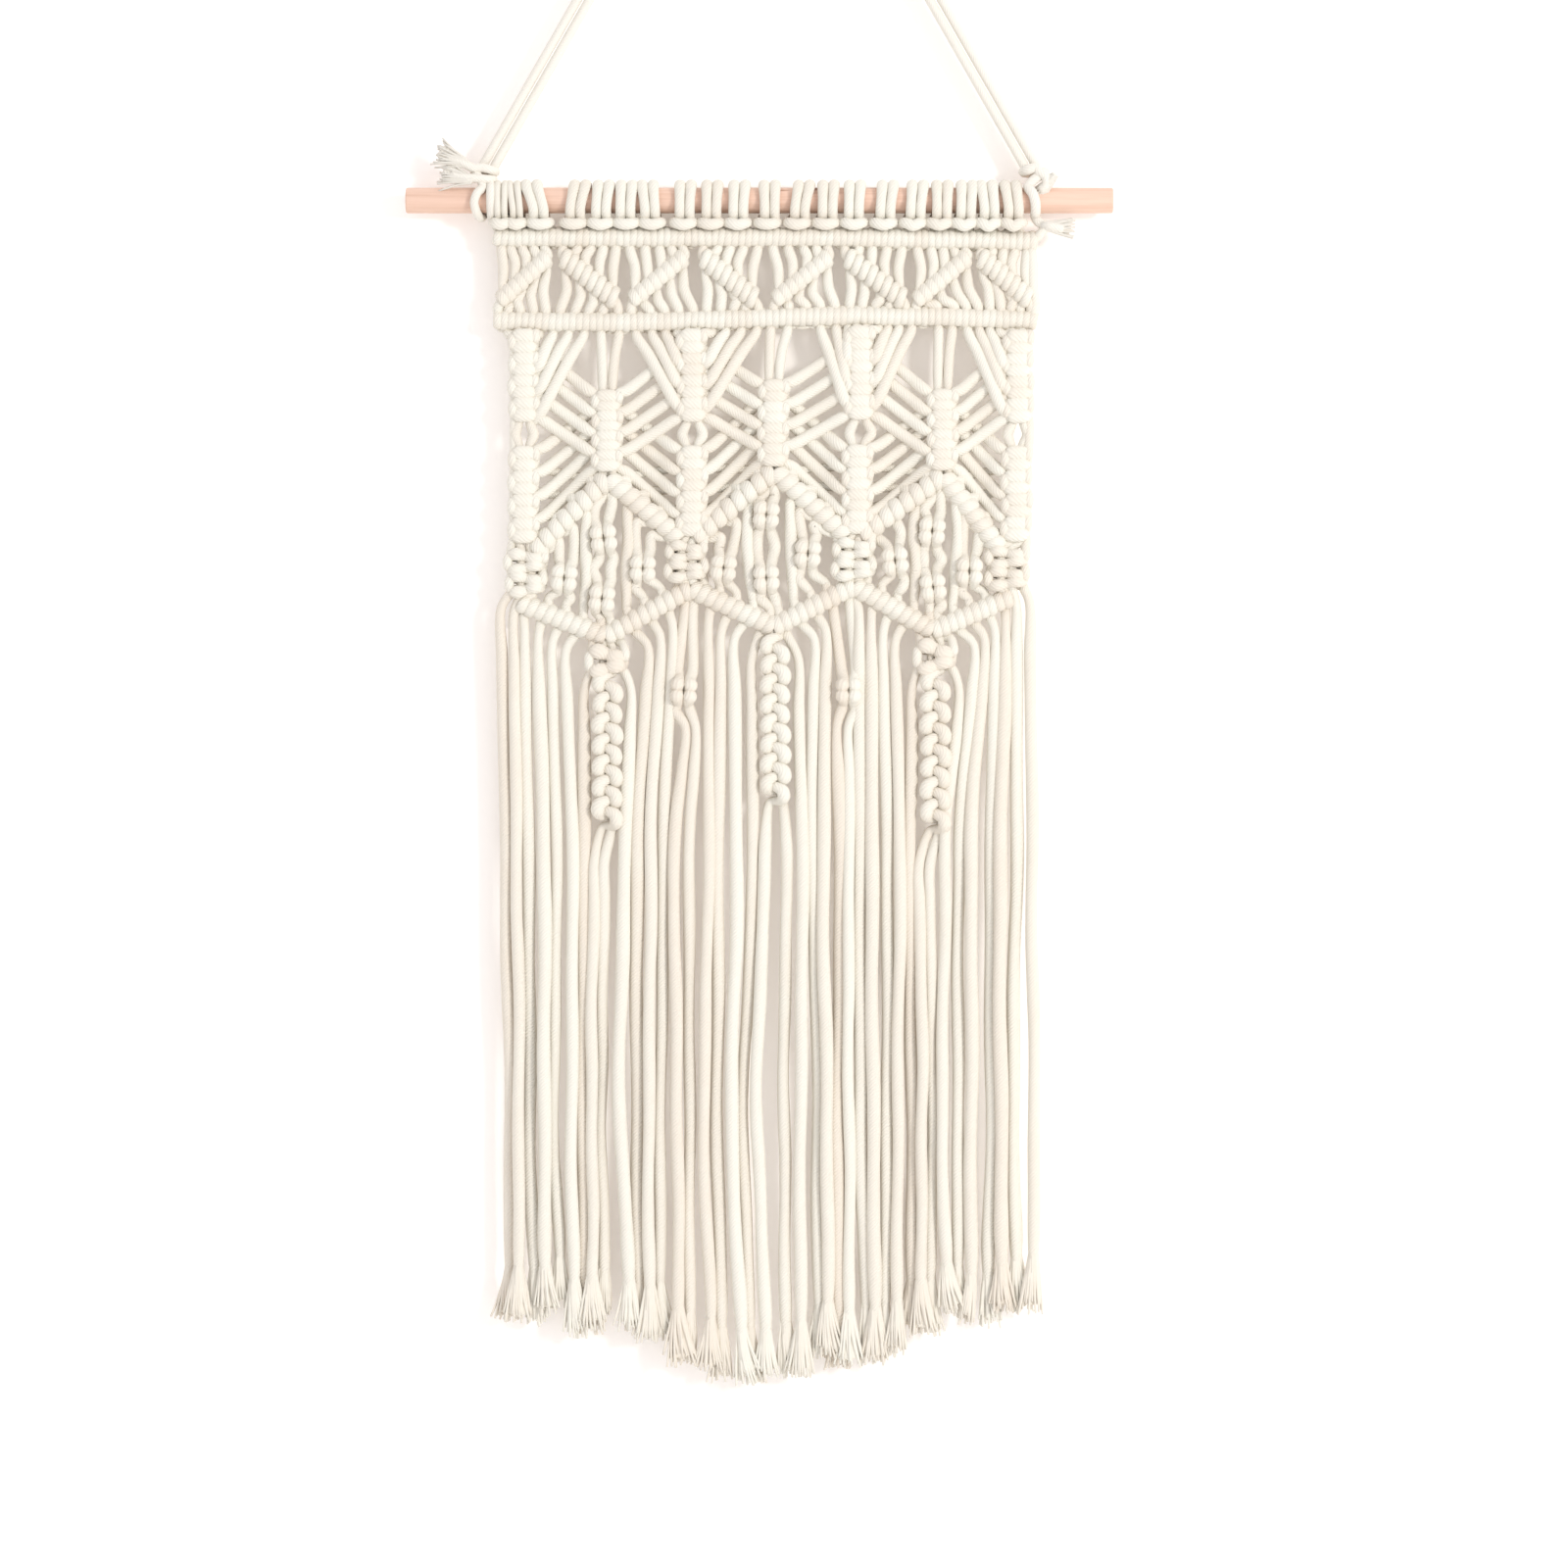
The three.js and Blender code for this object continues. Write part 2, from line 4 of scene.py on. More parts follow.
import bpy
import numpy as np
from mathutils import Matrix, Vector


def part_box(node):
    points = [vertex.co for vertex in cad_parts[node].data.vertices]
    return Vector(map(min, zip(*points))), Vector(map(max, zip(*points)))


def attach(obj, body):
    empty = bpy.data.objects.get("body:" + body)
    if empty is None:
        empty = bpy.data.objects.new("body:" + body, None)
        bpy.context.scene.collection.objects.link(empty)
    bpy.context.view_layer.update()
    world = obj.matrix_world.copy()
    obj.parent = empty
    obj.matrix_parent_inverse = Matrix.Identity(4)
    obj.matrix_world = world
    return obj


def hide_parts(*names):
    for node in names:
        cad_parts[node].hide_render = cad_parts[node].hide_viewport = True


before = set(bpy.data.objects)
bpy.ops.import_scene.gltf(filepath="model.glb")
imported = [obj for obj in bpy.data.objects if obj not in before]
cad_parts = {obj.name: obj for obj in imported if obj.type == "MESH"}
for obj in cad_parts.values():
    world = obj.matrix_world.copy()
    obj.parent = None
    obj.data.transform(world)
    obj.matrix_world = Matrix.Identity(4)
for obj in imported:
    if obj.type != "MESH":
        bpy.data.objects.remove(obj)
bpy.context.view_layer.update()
random.seed(11)
bpy.ops.object.select_all(action="DESELECT")

# Lengths are in millimetres until a mesh is made. x runs to the viewer's right, y away from the viewer,
# and depth runs down from the middle of the rod.
metre = 1000.0
rodLow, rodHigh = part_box("rod")
rodHeight = metre * (rodLow.z + rodHigh.z) / 2
rodRadius = metre * (rodHigh.z - rodLow.z) / 2
rodHalfLength = metre * (rodHigh.x - rodLow.x) / 2
frontward = np.array([0.0, -1.0, 0.0])
panelY = -2.0

panel = {
    "cords": 40,
    "cordHalf": 2.0,      # half the cord's thickness
    "barLeft": -112.3,
    "barRight": 117.3,
    "upperBar": 16.0,     # depth of the upper row of hitches
    "upperDrop": 1.7,     # how much lower its right end is
    "middleBar": 50.6,    # mean depth of the lower row
    "middleWave": 1.3,
    "middleCrest": 45.0,
    "barOuter": 3.75,
    "tones": 0.45,
    # Across, cord by cord: just under the upper row, just over the lower row and just under it
    "underUpper": [
        -109.3, -105.3, -100.4, -95.6, -91.2, -83.4, -77.2, -71.7, -66.3, -60.9,
        -54.9, -48.4, -42.4, -37.2, -32.6, -23.8, -17.8, -12.5, -6.9, -0.9,
        5.8, 12.3, 18.9, 24.3, 28.8, 36.2, 42.2, 47.8, 54.0, 60.3,
        67.1, 72.9, 78.0, 82.8, 87.2, 94.2, 98.8, 103.4, 108.3, 113.4,
    ],
    "overMiddle": [
        -110.6, -106.6, -101.4, -95.8, -90.6, -84.5, -78.1, -72.3, -66.3, -60.5,
        -53.7, -46.6, -40.3, -34.3, -28.2, -22.4, -16.4, -10.9, -5.9, -0.6,
        6.4, 12.4, 19.8, 25.8, 32.0, 38.2, 43.6, 49.3, 55.2, 61.2,
        67.6, 75.2, 82.7, 87.7, 92.7, 97.6, 102.4, 106.6, 110.6, 114.6,
    ],
    "underMiddle": [
        -106.4, -103.6, -98.8, -93.5, -87.7, -81.2, -74.6, -67.2, -59.7, -52.2,
        -45.5, -39.7, -34.6, -30.2, -26.2, -20.4, -14.4, -7.9, -1.3, 4.7,
        11.8, 26.0, 32.6, 37.6, 40.8, 43.6, 46.8, 50.4, 54.4, 59.0,
        64.4, 75.9, 81.6, 88.3, 93.3, 97.8, 102.0, 106.2, 110.0, 114.0,
    ],
}


def upperDepth(x):
    return panel["upperBar"] + panel["upperDrop"] * max(0.0, x / panel["barRight"]) ** 2


def middleDepth(x):
    width = panel["barRight"] - panel["barLeft"]
    wave = math.cos(2 * math.pi * (x - panel["middleCrest"]) / width)
    return panel["middleBar"] - panel["middleWave"] * wave


# The camera stands square on to the panel, a little to the right of its middle.
camera = {"aimX": 10.4, "aimZ": -448.6, "viewWidth": 664.8, "away": 2200.0, "lens": 85.0}


def makeCamera():
    data = bpy.data.cameras.new("viewCamera")
    eye = bpy.data.objects.new("viewCamera", data)
    bpy.context.scene.collection.objects.link(eye)
    data.sensor_width = camera["lens"] * camera["viewWidth"] / (camera["away"] + panelY)
    data.lens = camera["lens"]
    data.clip_start = 0.05
    data.clip_end = 30.0
    eye.location = (camera["aimX"] / metre, -camera["away"] / metre, camera["aimZ"] / metre)
    eye.rotation_euler = (math.pi / 2, 0, 0)
    bpy.context.scene.camera = eye
    print("camera set")


makeCamera()


def pointBetween(start, end, share):
    return start[0] + share * (end[0] - start[0]), start[1] + share * (end[1] - start[1])


def unitAlong(start, end):
    span = math.dist(start, end)
    return (end[0] - start[0]) / span, (end[1] - start[1]) / span


# A cord's route is a list of stations, each a place with the cord's half width, half thickness and the
# direction in which it is pressed flat.
def at(x, y, depth, half=2.0, thin=None, press=(0, 1, 0)):
    thin = half if thin is None else thin
    return [x, y, rodHeight - depth, half, thin, press[0], press[1], -press[2]]


def blend(t, start, end, first, last):
    return ((end - t) * first + (t - start) * last) / (end - start)


# A smooth curve through all stations, in short steps.
def smoothLine(stations, step=0.4):
    stations = np.array(stations, float)
    before = 2 * stations[0] - stations[1]
    after = 2 * stations[-1] - stations[-2]
    stations = np.vstack([before, stations, after])
    chord = np.linalg.norm(np.diff(stations[:, :3], axis=0), axis=1)
    knots = np.concatenate([[0], np.cumsum(np.sqrt(np.maximum(chord, 1e-3)))])
    parts = []
    for first in range(len(stations) - 3):
        p0, p1, p2, p3 = stations[first:first + 4]
        t0, t1, t2, t3 = knots[first:first + 4]
        count = max(2, math.ceil(chord[first + 1] / step))
        t = np.linspace(t1, t2, count, endpoint=False)[:, None]
        across = blend(t, t1, t2, p1, p2)
        early = blend(t, t0, t2, blend(t, t0, t1, p0, p1), across)
        late = blend(t, t1, t3, across, blend(t, t2, t3, p2, p3))
        parts.append(blend(t, t1, t2, early, late))
    parts.append(stations[-2:-1])
    return np.vstack(parts)


# Rings stand closer together where the line bends.
def ringsAlong(line, ringStep, ringTurn):
    step = np.diff(line[:, :3], axis=0)
    length = np.linalg.norm(step, axis=1)
    tangent = step / length[:, None]
    bend = np.degrees(np.arccos(np.clip((tangent[1:] * tangent[:-1]).sum(1), -1, 1)))
    cost = length / ringStep
    cost[1:] += bend / ringTurn
    total = np.concatenate([[0], np.cumsum(cost)])
    travel = np.concatenate([[0], np.cumsum(length)])
    wanted = np.linspace(0, total[-1], max(3, math.ceil(total[-1]) + 1))
    rings = np.stack([np.interp(wanted, total, line[:, column]) for column in range(line.shape[1])], 1)
    return rings, np.interp(wanted, total, travel)


def turningFrames(places):
    tangent = np.gradient(places, axis=0)
    tangent /= np.linalg.norm(tangent, axis=1)[:, None]
    start = np.array([1.0, 0.0, 0.0])
    if abs(tangent[0, 0]) > 0.9:
        start = np.array([0.0, 1.0, 0.0])
    sides = np.zeros_like(places)
    side = start
    for ring, along in enumerate(tangent):
        side = side - along * np.dot(side, along)
        side = side / np.linalg.norm(side)
        sides[ring] = side
    return tangent, sides, np.cross(tangent, sides)


cordLook = {
    "columns": 12,        # faces round a cord
    "lay": 15.0,          # length of one turn of the yarns
    "ringStep": 2.0,
    "ringTurn": 26.0,     # degrees of bend from ring to ring
    "cap": 0.35,          # how far each end bulges, as a share of the half width
    "thickest": 1.5,      # half thickness over half width, at most and at least
    "thinnest": 0.3,
    "uvLength": 10.0,
    "uvShift": 7,
}


def newBundle():
    return {"points": [], "quads": [], "quadUv": [], "tris": [], "triUv": [], "tone": [], "count": 0}


# A tube along the stations, closed at both ends. Its texture coordinate turns with the cord's lay.
def addCord(bundle, stations, tone, count=cordLook["columns"], ringStep=cordLook["ringStep"],
            ringTurn=cordLook["ringTurn"]):
    rings, travel = ringsAlong(smoothLine(stations), ringStep, ringTurn)
    places = rings[:, :3]
    tangent, sides, normals = turningFrames(places)
    angle = 2 * math.pi * np.arange(count)[None, :] / count
    reach = rings[:, 3][:, None]
    sideways = (reach * np.cos(angle))[..., None] * sides[:, None]
    deep = (reach * np.sin(angle))[..., None] * normals[:, None]
    offset = sideways + deep
    press = rings[:, 5:8] / np.maximum(np.linalg.norm(rings[:, 5:8], axis=1), 1e-6)[:, None]
    flat = 1 - np.clip(rings[:, 4] / rings[:, 3], cordLook["thinnest"], cordLook["thickest"])
    along = (offset * press[:, None]).sum(2)
    offset -= press[:, None] * (along * flat[:, None])[..., None]
    skin = (places[:, None] + offset).reshape(-1, 3)
    cap = cordLook["cap"] * rings[[0, -1], 3][:, None] * tangent[[0, -1]] * np.array([[-1], [1]])
    caps = places[[0, -1]] + cap
    base = bundle["count"]
    ringCount = len(rings)
    row = np.arange(ringCount - 1)[:, None] * count
    column = np.arange(count)[None, :]
    following = (column + 1) % count
    lower = row + count
    quads = np.stack([row + column, row + following, lower + following, lower + column], 2) + base
    v = travel / cordLook["uvLength"] + random.random() * cordLook["uvShift"]
    turned = column / count - travel[:, None] / cordLook["lay"]
    near, far = turned[:-1], turned[1:]
    v0 = np.broadcast_to(v[:-1, None], (ringCount - 1, count))
    v1 = np.broadcast_to(v[1:, None], (ringCount - 1, count))
    quadUv = np.stack([near, v0, near + 1 / count, v0, far + 1 / count, v1, far, v1], 2)
    bundle["points"].append(np.vstack([skin, caps]))
    bundle["quads"].append(quads.reshape(-1, 4))
    bundle["quadUv"].append(quadUv.reshape(-1, 8))
    first = base + np.arange(count)
    last = first + (ringCount - 1) * count
    startTip = np.full(count, base + ringCount * count)
    endTip = startTip + 1
    bundle["tris"].append(np.stack([startTip, np.roll(first, -1), first], 1))
    bundle["tris"].append(np.stack([endTip, last, np.roll(last, -1)], 1))
    for ring in (0, -1):
        ends = np.full(count, v[ring])
        share = turned[ring]
        bundle["triUv"].append(np.stack([share, ends, share + 1 / count, ends, share, ends], 1))
    bundle["tone"].append(np.full(len(skin) + 2, tone))
    bundle["count"] += len(skin) + 2
    return travel[-1]


def makePiece(name, bundle, material, slot, *nodes):
    points = np.vstack(bundle["points"]) / metre
    quads = np.vstack(bundle["quads"])
    tris = np.vstack(bundle["tris"])
    mesh = bpy.data.meshes.new(name)
    mesh.from_pydata(points.tolist(), [], quads.tolist() + tris.tolist())
    uv = np.concatenate([np.vstack(bundle["quadUv"]).ravel(), np.vstack(bundle["triUv"]).ravel()])
    mesh.uv_layers.new(name="cordUv").data.foreach_set("uv", uv.astype(np.float32))
    tone = mesh.attributes.new("tone", "FLOAT", "POINT")
    tone.data.foreach_set("value", np.concatenate(bundle["tone"]).astype(np.float32))
    mesh.shade_smooth()
    mesh.materials.append(material)
    piece = bpy.data.objects.new(name, mesh)
    bpy.context.scene.collection.objects.link(piece)
    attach(piece, "root")
    if nodes:
        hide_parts(*nodes)
    print(name, "made with", 2 * len(quads) + len(tris), "triangles")
    return piece


# A socket is linked where its value is another node's output, and set otherwise.
def feed(tree, socket, value):
    if isinstance(value, bpy.types.NodeSocket):
        tree.links.new(value, socket)
    else:
        socket.default_value = value


def addNode(tree, kind, output, sockets, **settings):
    node = tree.nodes.new("ShaderNode" + kind)
    for name, value in settings.items():
        setattr(node, name, value)
    for socket, value in sockets.items():
        feed(tree, node.inputs[socket], value)
    return node.outputs[output]


def mathNode(tree, operation, *values):
    return addNode(tree, "Math", "Value", dict(enumerate(values)), operation=operation)


def noiseNode(tree, vector, scale, detail):
    return addNode(tree, "TexNoise", "Fac", {"Vector": vector, "Scale": scale, "Detail": detail})


# Blends two colours, each given with its place on the ramp.
def rampNode(tree, value, *colours):
    node = tree.nodes.new("ShaderNodeValToRGB")
    for element, (colour, place) in zip(node.color_ramp.elements, colours):
        element.position = place
        element.color = (*colour, 1)
    feed(tree, node.inputs["Fac"], value)
    return node.outputs["Color"]


def newMaterial(name, surface):
    material = bpy.data.materials.new(name)
    material.use_nodes = True
    tree = material.node_tree
    shader = tree.nodes["Principled BSDF"]
    for socket, value in surface.items():
        feed(tree, shader.inputs[socket], value)
    return material, tree, shader


# Lays the colour and the relief on a surface.
def finishSurface(tree, shader, look, colour, height):
    relief = {"Strength": look["bumpStrength"], "Distance": look["bumpDistance"], "Height": height}
    feed(tree, shader.inputs["Normal"], addNode(tree, "Bump", "Normal", relief))
    feed(tree, shader.inputs["Base Color"], colour)


def cottonMaterial(name, look):
    material, tree, shader = newMaterial(name, look["surface"])
    place = addNode(tree, "TexCoord", "Object", {})
    wander = noiseNode(tree, place, look["wanderScale"], 2.0)
    fibre = noiseNode(tree, place, look["fibreScale"], 4.0)
    blotch = noiseNode(tree, place, look["blotchScale"], 2.0)
    # Yarns run along the cord's own turn, so they slant round it
    around = addNode(tree, "SeparateXYZ", "X", {"Vector": addNode(tree, "UVMap", "UV", {}, uv_map="cordUv")})
    turns = mathNode(tree, "MULTIPLY", around, 2 * math.pi * look["yarnsAround"])
    yarns = mathNode(tree, "SINE", mathNode(tree, "MULTIPLY_ADD", wander, look["yarnWander"], turns))
    height = mathNode(tree, "MULTIPLY_ADD", fibre, look["fibreShare"], yarns)
    # Each cord has its own tone between two creams, with soft blotches, and painted shade darkens it in the
    # gaps between yarns
    tone = addNode(tree, "Attribute", "Fac", {}, attribute_name="tone")
    shade = mathNode(tree, "MULTIPLY_ADD", blotch, look["blotchShare"], tone)
    shade = mathNode(tree, "MULTIPLY_ADD", yarns, -look["paintedYarnGapShade"], shade)
    finishSurface(tree, shader, look, rampNode(tree, shade, look["pale"], look["warm"]), height)
    return material


panelCottonLook = {
    "pale": ((0.812, 0.778, 0.69), 0.25),
    "warm": ((0.765, 0.69, 0.59), 0.95),
    "surface": {
        "Roughness": 0.92, "Sheen Weight": 0.1, "Sheen Roughness": 0.5, "Specular IOR Level": 0.2,
    },
    "yarnsAround": 10,
    "yarnWander": 2.4,
    # How much painted shade darkens the colour in the gaps between yarns
    "paintedYarnGapShade": 0.07,
    "wanderScale": 260.0,
    "fibreScale": 1500.0,
    "fibreShare": 0.7,
    "blotchScale": 55.0,
    "blotchShare": 0.4,
    "bumpStrength": 0.4,
    "bumpDistance": 0.00025,
}
hangerCottonLook = dict(panelCottonLook, pale=((0.83, 0.79, 0.71), 0.25), warm=((0.79, 0.72, 0.63), 0.95))
# The tips have finer relief and less painted shade between their yarns
tipCottonLook = dict(panelCottonLook, yarnsAround=2, yarnWander=1.0, paintedYarnGapShade=0.02, bumpStrength=0.12)
panelCotton = cottonMaterial("panelCotton", panelCottonLook)
hangerCotton = cottonMaterial("hangerCotton", hangerCottonLook)
tipCotton = cottonMaterial("tipCotton", tipCottonLook)


# The dowel is a turned wooden rod with softened ends.
woodLook = {
    "pale": ((0.79, 0.545, 0.425), 0.56),
    "dark": ((0.69, 0.45, 0.335), 0.32),
    "mark": (0.34, 0.16, 0.09),
    "markFade": {"From Min": 1.6, "From Max": 0.2, "To Max": 0.75},
    "grainScale": 1000.0,
    "broadShare": 0.3,    # how coarse the broad grain is beside the fine one
    "stretch": 0.035,
    "surface": {"Roughness": 0.55},
    "bumpStrength": 0.15,
    "bumpDistance": 0.0002,
    # Brown streaks high on the front: across, up from the middle, half length, half width
    "marks": [(8.0, 5.4, 5.2, 0.5), (8.4, 3.9, 4.4, 0.42), (21.5, 4.6, 5.6, 0.8), (48.5, 5.2, 3.2, 0.45)],
}
dowel = {
    "vertices": 96,
    "bevel": 0.7,
    "segments": 3,
    "sharpEnd": 50,       # edges sharper than this are eased, in degrees
    "smoothUpTo": 40,     # and edges sharper than this stay crisp in the shading
}


def woodMaterial(name, look):
    material, tree, shader = newMaterial(name, look["surface"])
    place = addNode(tree, "TexCoord", "Object", {})
    drawnOut = {0: place, 1: (look["stretch"], 1.0, 1.0)}
    alongRod = addNode(tree, "VectorMath", "Vector", drawnOut, operation="MULTIPLY")
    grain = noiseNode(tree, alongRod, look["grainScale"], 3.0)
    broad = noiseNode(tree, alongRod, look["grainScale"] * look["broadShare"], 2.0)
    mixed = mathNode(tree, "MULTIPLY_ADD", grain, 0.5, mathNode(tree, "MULTIPLY", broad, 0.5))
    colour = rampNode(tree, mixed, look["dark"], look["pale"])
    places = {axis: addNode(tree, "SeparateXYZ", axis, {"Vector": place}) for axis in "XZ"}
    for x, up, halfLength, halfWidth in look["marks"]:
        squares = []
        for axis, middle, half in (("X", x, halfLength), ("Z", rodHeight + up, halfWidth)):
            reach = mathNode(tree, "SUBTRACT", places[axis], middle / metre)
            reach = mathNode(tree, "DIVIDE", reach, half / metre)
            squares.append(mathNode(tree, "POWER", reach, 2.0))
        fade = {"Value": mathNode(tree, "ADD", *squares), **look["markFade"]}
        inside = addNode(tree, "MapRange", "Result", fade, interpolation_type="SMOOTHSTEP")
        blend = {"Factor": inside, "A": colour, "B": (*look["mark"], 1)}
        colour = addNode(tree, "Mix", "Result", blend, data_type="RGBA")
    finishSurface(tree, shader, look, colour, grain)
    return material


def makeDowel():
    bpy.ops.mesh.primitive_cylinder_add(
        vertices=dowel["vertices"], radius=rodRadius / metre, depth=2 * rodHalfLength / metre,
        location=(0, 0, rodHeight / metre), rotation=(0, math.pi / 2, 0))
    rod = bpy.context.active_object
    rod.name = "dowel"
    rod.data.name = "dowel"
    bpy.ops.object.transform_apply(location=True, rotation=True, scale=True)
    bevel = rod.modifiers.new("softEdges", "BEVEL")
    bevel.width = dowel["bevel"] / metre
    bevel.segments = dowel["segments"]
    bevel.limit_method = "ANGLE"
    bevel.angle_limit = math.radians(dowel["sharpEnd"])
    bpy.ops.object.modifier_apply(modifier=bevel.name)
    bpy.ops.object.shade_smooth_by_angle(angle=math.radians(dowel["smoothUpTo"]))
    rod.data.materials.append(woodMaterial("dowelWood", woodLook))
    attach(rod, "root")
    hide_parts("rod")
    print("dowel made with", len(rod.data.polygons), "faces")


makeDowel()


# The hanger is two cords side by side, from the tie on the left, over the hook, to the tie on the right.
hanger = {
    "inner": [
        (-114.3, -189.6), (-102.6, -169.1), (-88.9, -145.1), (-75.2, -121.1), (-61.5, -97.1),
        (-47.8, -73.1), (-34.1, -49.1), (-20.4, -25.1), (-7.4, -2.2), (-4.3, 1.0),
    ],
    "innerTop": 2.1,
    "outer": [
        (-118.1, -187.4), (-107.7, -169.1), (-94.0, -145.1), (-80.3, -121.1), (-66.6, -97.1),
        (-52.9, -73.1), (-39.2, -49.1), (-25.5, -25.1), (-11.2, 0.0), (-6.5, 4.8),
    ],
    "outerTop": 6.5,
    "tone": 0.1,
    "pathStep": 6,        # every sixth point of the line
}


def hangerCord(name, half, top, node):
    route = [*half, (0.0, top), *[(-x, z) for x, z in reversed(half)]]
    bundle = newBundle()
    stations = [at(x, 0, rodHeight - z) for x, z in route]
    length = addCord(bundle, stations, hanger["tone"])
    piece = makePiece(name, bundle, hangerCotton, "hanger_cotton", node)
    print(name, "is", round(length), "mm long")


hangerCord("hangerInner", hanger["inner"], hanger["innerTop"], "hanger_cord_inner")
hangerCord("hangerOuter", hanger["outer"], hanger["outerTop"], "hanger_cord_outer")


# In the heading each doubled cord goes over the rod, and its own bight lies across its two ends.
heading = {
    "knots": [
        -109.6, -103.1, -93.0, -78.8, -67.4, -56.5, -45.6, -32.2, -20.7, -9.2,
        3.3, 16.0, 28.0, 39.9, 52.5, 65.0, 76.2, 86.6, 96.9, 107.5,
    ],
    # How far to the right of its bight each pair stands just above it, and on top of the rod
    "foot": [
        0.2, 0.2, -0.5, 0.9, 0.4, -0.2, -0.7, 0.6, 0.4, 0.3,
        1.1, 1.2, 0.9, 0.1, 0.9, 1.2, 1.1, 0.9, 0.5, 0.1,
    ],
    "top": [
        0.0, -1.1, -3.6, 2.8, 1.4, 0.3, -1.6, 0.9, 0.8, 0.7,
        1.1, 2.9, 1.5, 0.4, 1.9, 2.0, 1.5, 1.4, -0.5, -1.1,
    ],
    "spread": 2.1,        # each strand from its pair's middle
    "strandHalf": 2.15,
    "strandThin": 1.6,
    "bight": 3.7,
    "tailDepth": 14.0,
    "tailSpread": 2.3,
    "roomy": 9.6,         # knots nearer to each other than this are squeezed
    "tightest": 0.64,
    "overRod": 1.12,      # a strand is that much wider on top of the rod
    "tones": 0.4,
}


def larksHead(index):
    x = heading["knots"][index]
    foot = x + heading["foot"][index]
    top = x + heading["top"][index] + random.uniform(-0.2, 0.2)
    gaps = [abs(x - other) for other in heading["knots"] if other != x]
    tight = max(heading["tightest"], min(1.0, min(gaps) / heading["roomy"]))
    half = heading["strandHalf"] * tight
    thin = heading["strandThin"]
    spread = heading["spread"] * tight
    bight = heading["bight"] * tight
    front = rodRadius + thin
    sides = []
    for place in (-1, 1):
        low = foot + place * spread
        high = top + place * (spread + 0.25)
        wide = half * heading["overRod"]
        out = x + place * (bight + 0.2)
        sides.append([
            at(low, 0.4, heading["tailDepth"], 1.6), at(low, -0.4, 11.0, 1.6), at(low, -3.9, 7.6, half, 1.7),
            at(low, -front - 0.2, 4.0, half, thin), at(low + 0.4 * (high - low), -front, -0.5, half, thin),
            at(low + 0.85 * (high - low), -5.3, -4.8, wide, thin, (0, -1, -1)),
            at(high, 0, -front, wide, thin, (0, 0, 1)), at(high, 5.2, -5.2, half, thin, (0, 1, -1)),
            at(0.5 * (high + low), front, 0, half, thin), at(low, 6.3, 4.2, 2.0),
            at(x + place * spread * 1.25, 3.2, 7.9, 2.0), at(out + place * 0.2, -0.8, 9.2, 2.0),
            at(out, -4.6, 9.8, 2.25, 2.0), at(x + place * bight * 0.62, -6.4, 10.45, 2.4, 2.0),
        ])
    sag = random.uniform(-0.2, 0.2) + 0.6 * (upperDepth(x) - panel["upperBar"])
    return [*sides[0], at(x, -6.8, 10.95 + sag, 2.45, 2.0), *reversed(sides[1])]


def makeHeading():
    bundle = newBundle()
    for index in range(len(heading["knots"])):
        addCord(bundle, larksHead(index), random.random() * heading["tones"])
    makePiece("headingKnots", bundle, panelCotton, "cotton", "heading")


makeHeading()


# In a hitch a cord goes twice round a holding cord and leaves behind it. Each stage is the angle round the
# holding cord, the share of the pitch along it, and the layer that it lies in.
hitchTurns = [
    (330, 0.0, 0), (270, -0.14, 0), (210, -0.25, 0), (150, -0.25, 0), (90, -0.25, 0), (30, -0.25, 0),
    (-30, -0.2, 1), (-90, 0.0, 1), (-150, 0.2, 1), (-210, 0.25, 0), (-270, 0.25, 0), (-330, 0.25, 0),
    (-390, 0.2, 2), (-450, 0.1, 2), (-505, 0.0, 2),
]
hitchLook = {"core": 1.6, "half": 1.9, "thin": 1.1, "layer": 0.75, "lean": 0.0}


def hitch(x, depth, along, pitch, look=hitchLook, y=panelY):
    centre = np.array([x, y, depth])
    alongX, alongDepth = along
    axis = np.array([alongX, 0.0, alongDepth])
    up = np.array([alongDepth, 0.0, -alongX])
    stations = []
    for angle, share, layer in hitchTurns:
        turn = math.radians(angle)
        outward = math.cos(turn) * up + math.sin(turn) * frontward
        radius = look["core"] + look["thin"] + layer * look["layer"]
        slide = share * pitch + look["lean"] * math.cos(turn)
        place = centre + radius * outward + slide * axis
        stations.append(at(*place, look["half"], look["thin"], outward))
    return stations


def makeBar(name, node, depthAt, rowAbove, rowBelow, endAbove, tail):
    bundle = newBundle()
    pitch = (panel["barRight"] - panel["barLeft"]) / panel["cords"]
    for index in range(panel["cords"]):
        x = panel["barLeft"] + pitch * (index + 0.5)
        slope = (depthAt(x + 1) - depthAt(x - 1)) / 2
        size = math.hypot(1, slope)
        half = hitchLook["half"] + random.uniform(-0.1, 0.1)
        look = dict(hitchLook, half=half, lean=random.uniform(-0.1, 0.5))
        knot = hitch(x, depthAt(x) + random.uniform(-0.12, 0.12), (1 / size, slope / size), pitch, look)
        over, under = rowAbove[index], rowBelow[index]
        above = [
            at(over, -0.6, depthAt(over) - endAbove, 1.8),
            at((over + x) / 2, 1.4, depthAt(x) - 3.0, 1.6),
        ]
        below = [
            at((under + x) / 2, 1.4, depthAt(x) + 2.6, 1.6),
            at(under, -0.2, depthAt(under) + 4.2, 1.9),
            at(under, -1.6, depthAt(under) + 6.2, 2.0),
        ]
        addCord(bundle, [*above, *knot, *below], random.random() * panel["tones"])
    holding = [at(panel["barLeft"] + 0.6, panelY, depthAt(panel["barLeft"]), 1.8)]
    for step in range(1, 12):
        x = panel["barLeft"] + (panel["barRight"] - panel["barLeft"]) * step / 12
        holding.append(at(x, panelY, depthAt(x), 1.6))
    addCord(bundle, holding + list(tail), 0.2)
    return makePiece(name, bundle, panelCotton, "cotton", node)


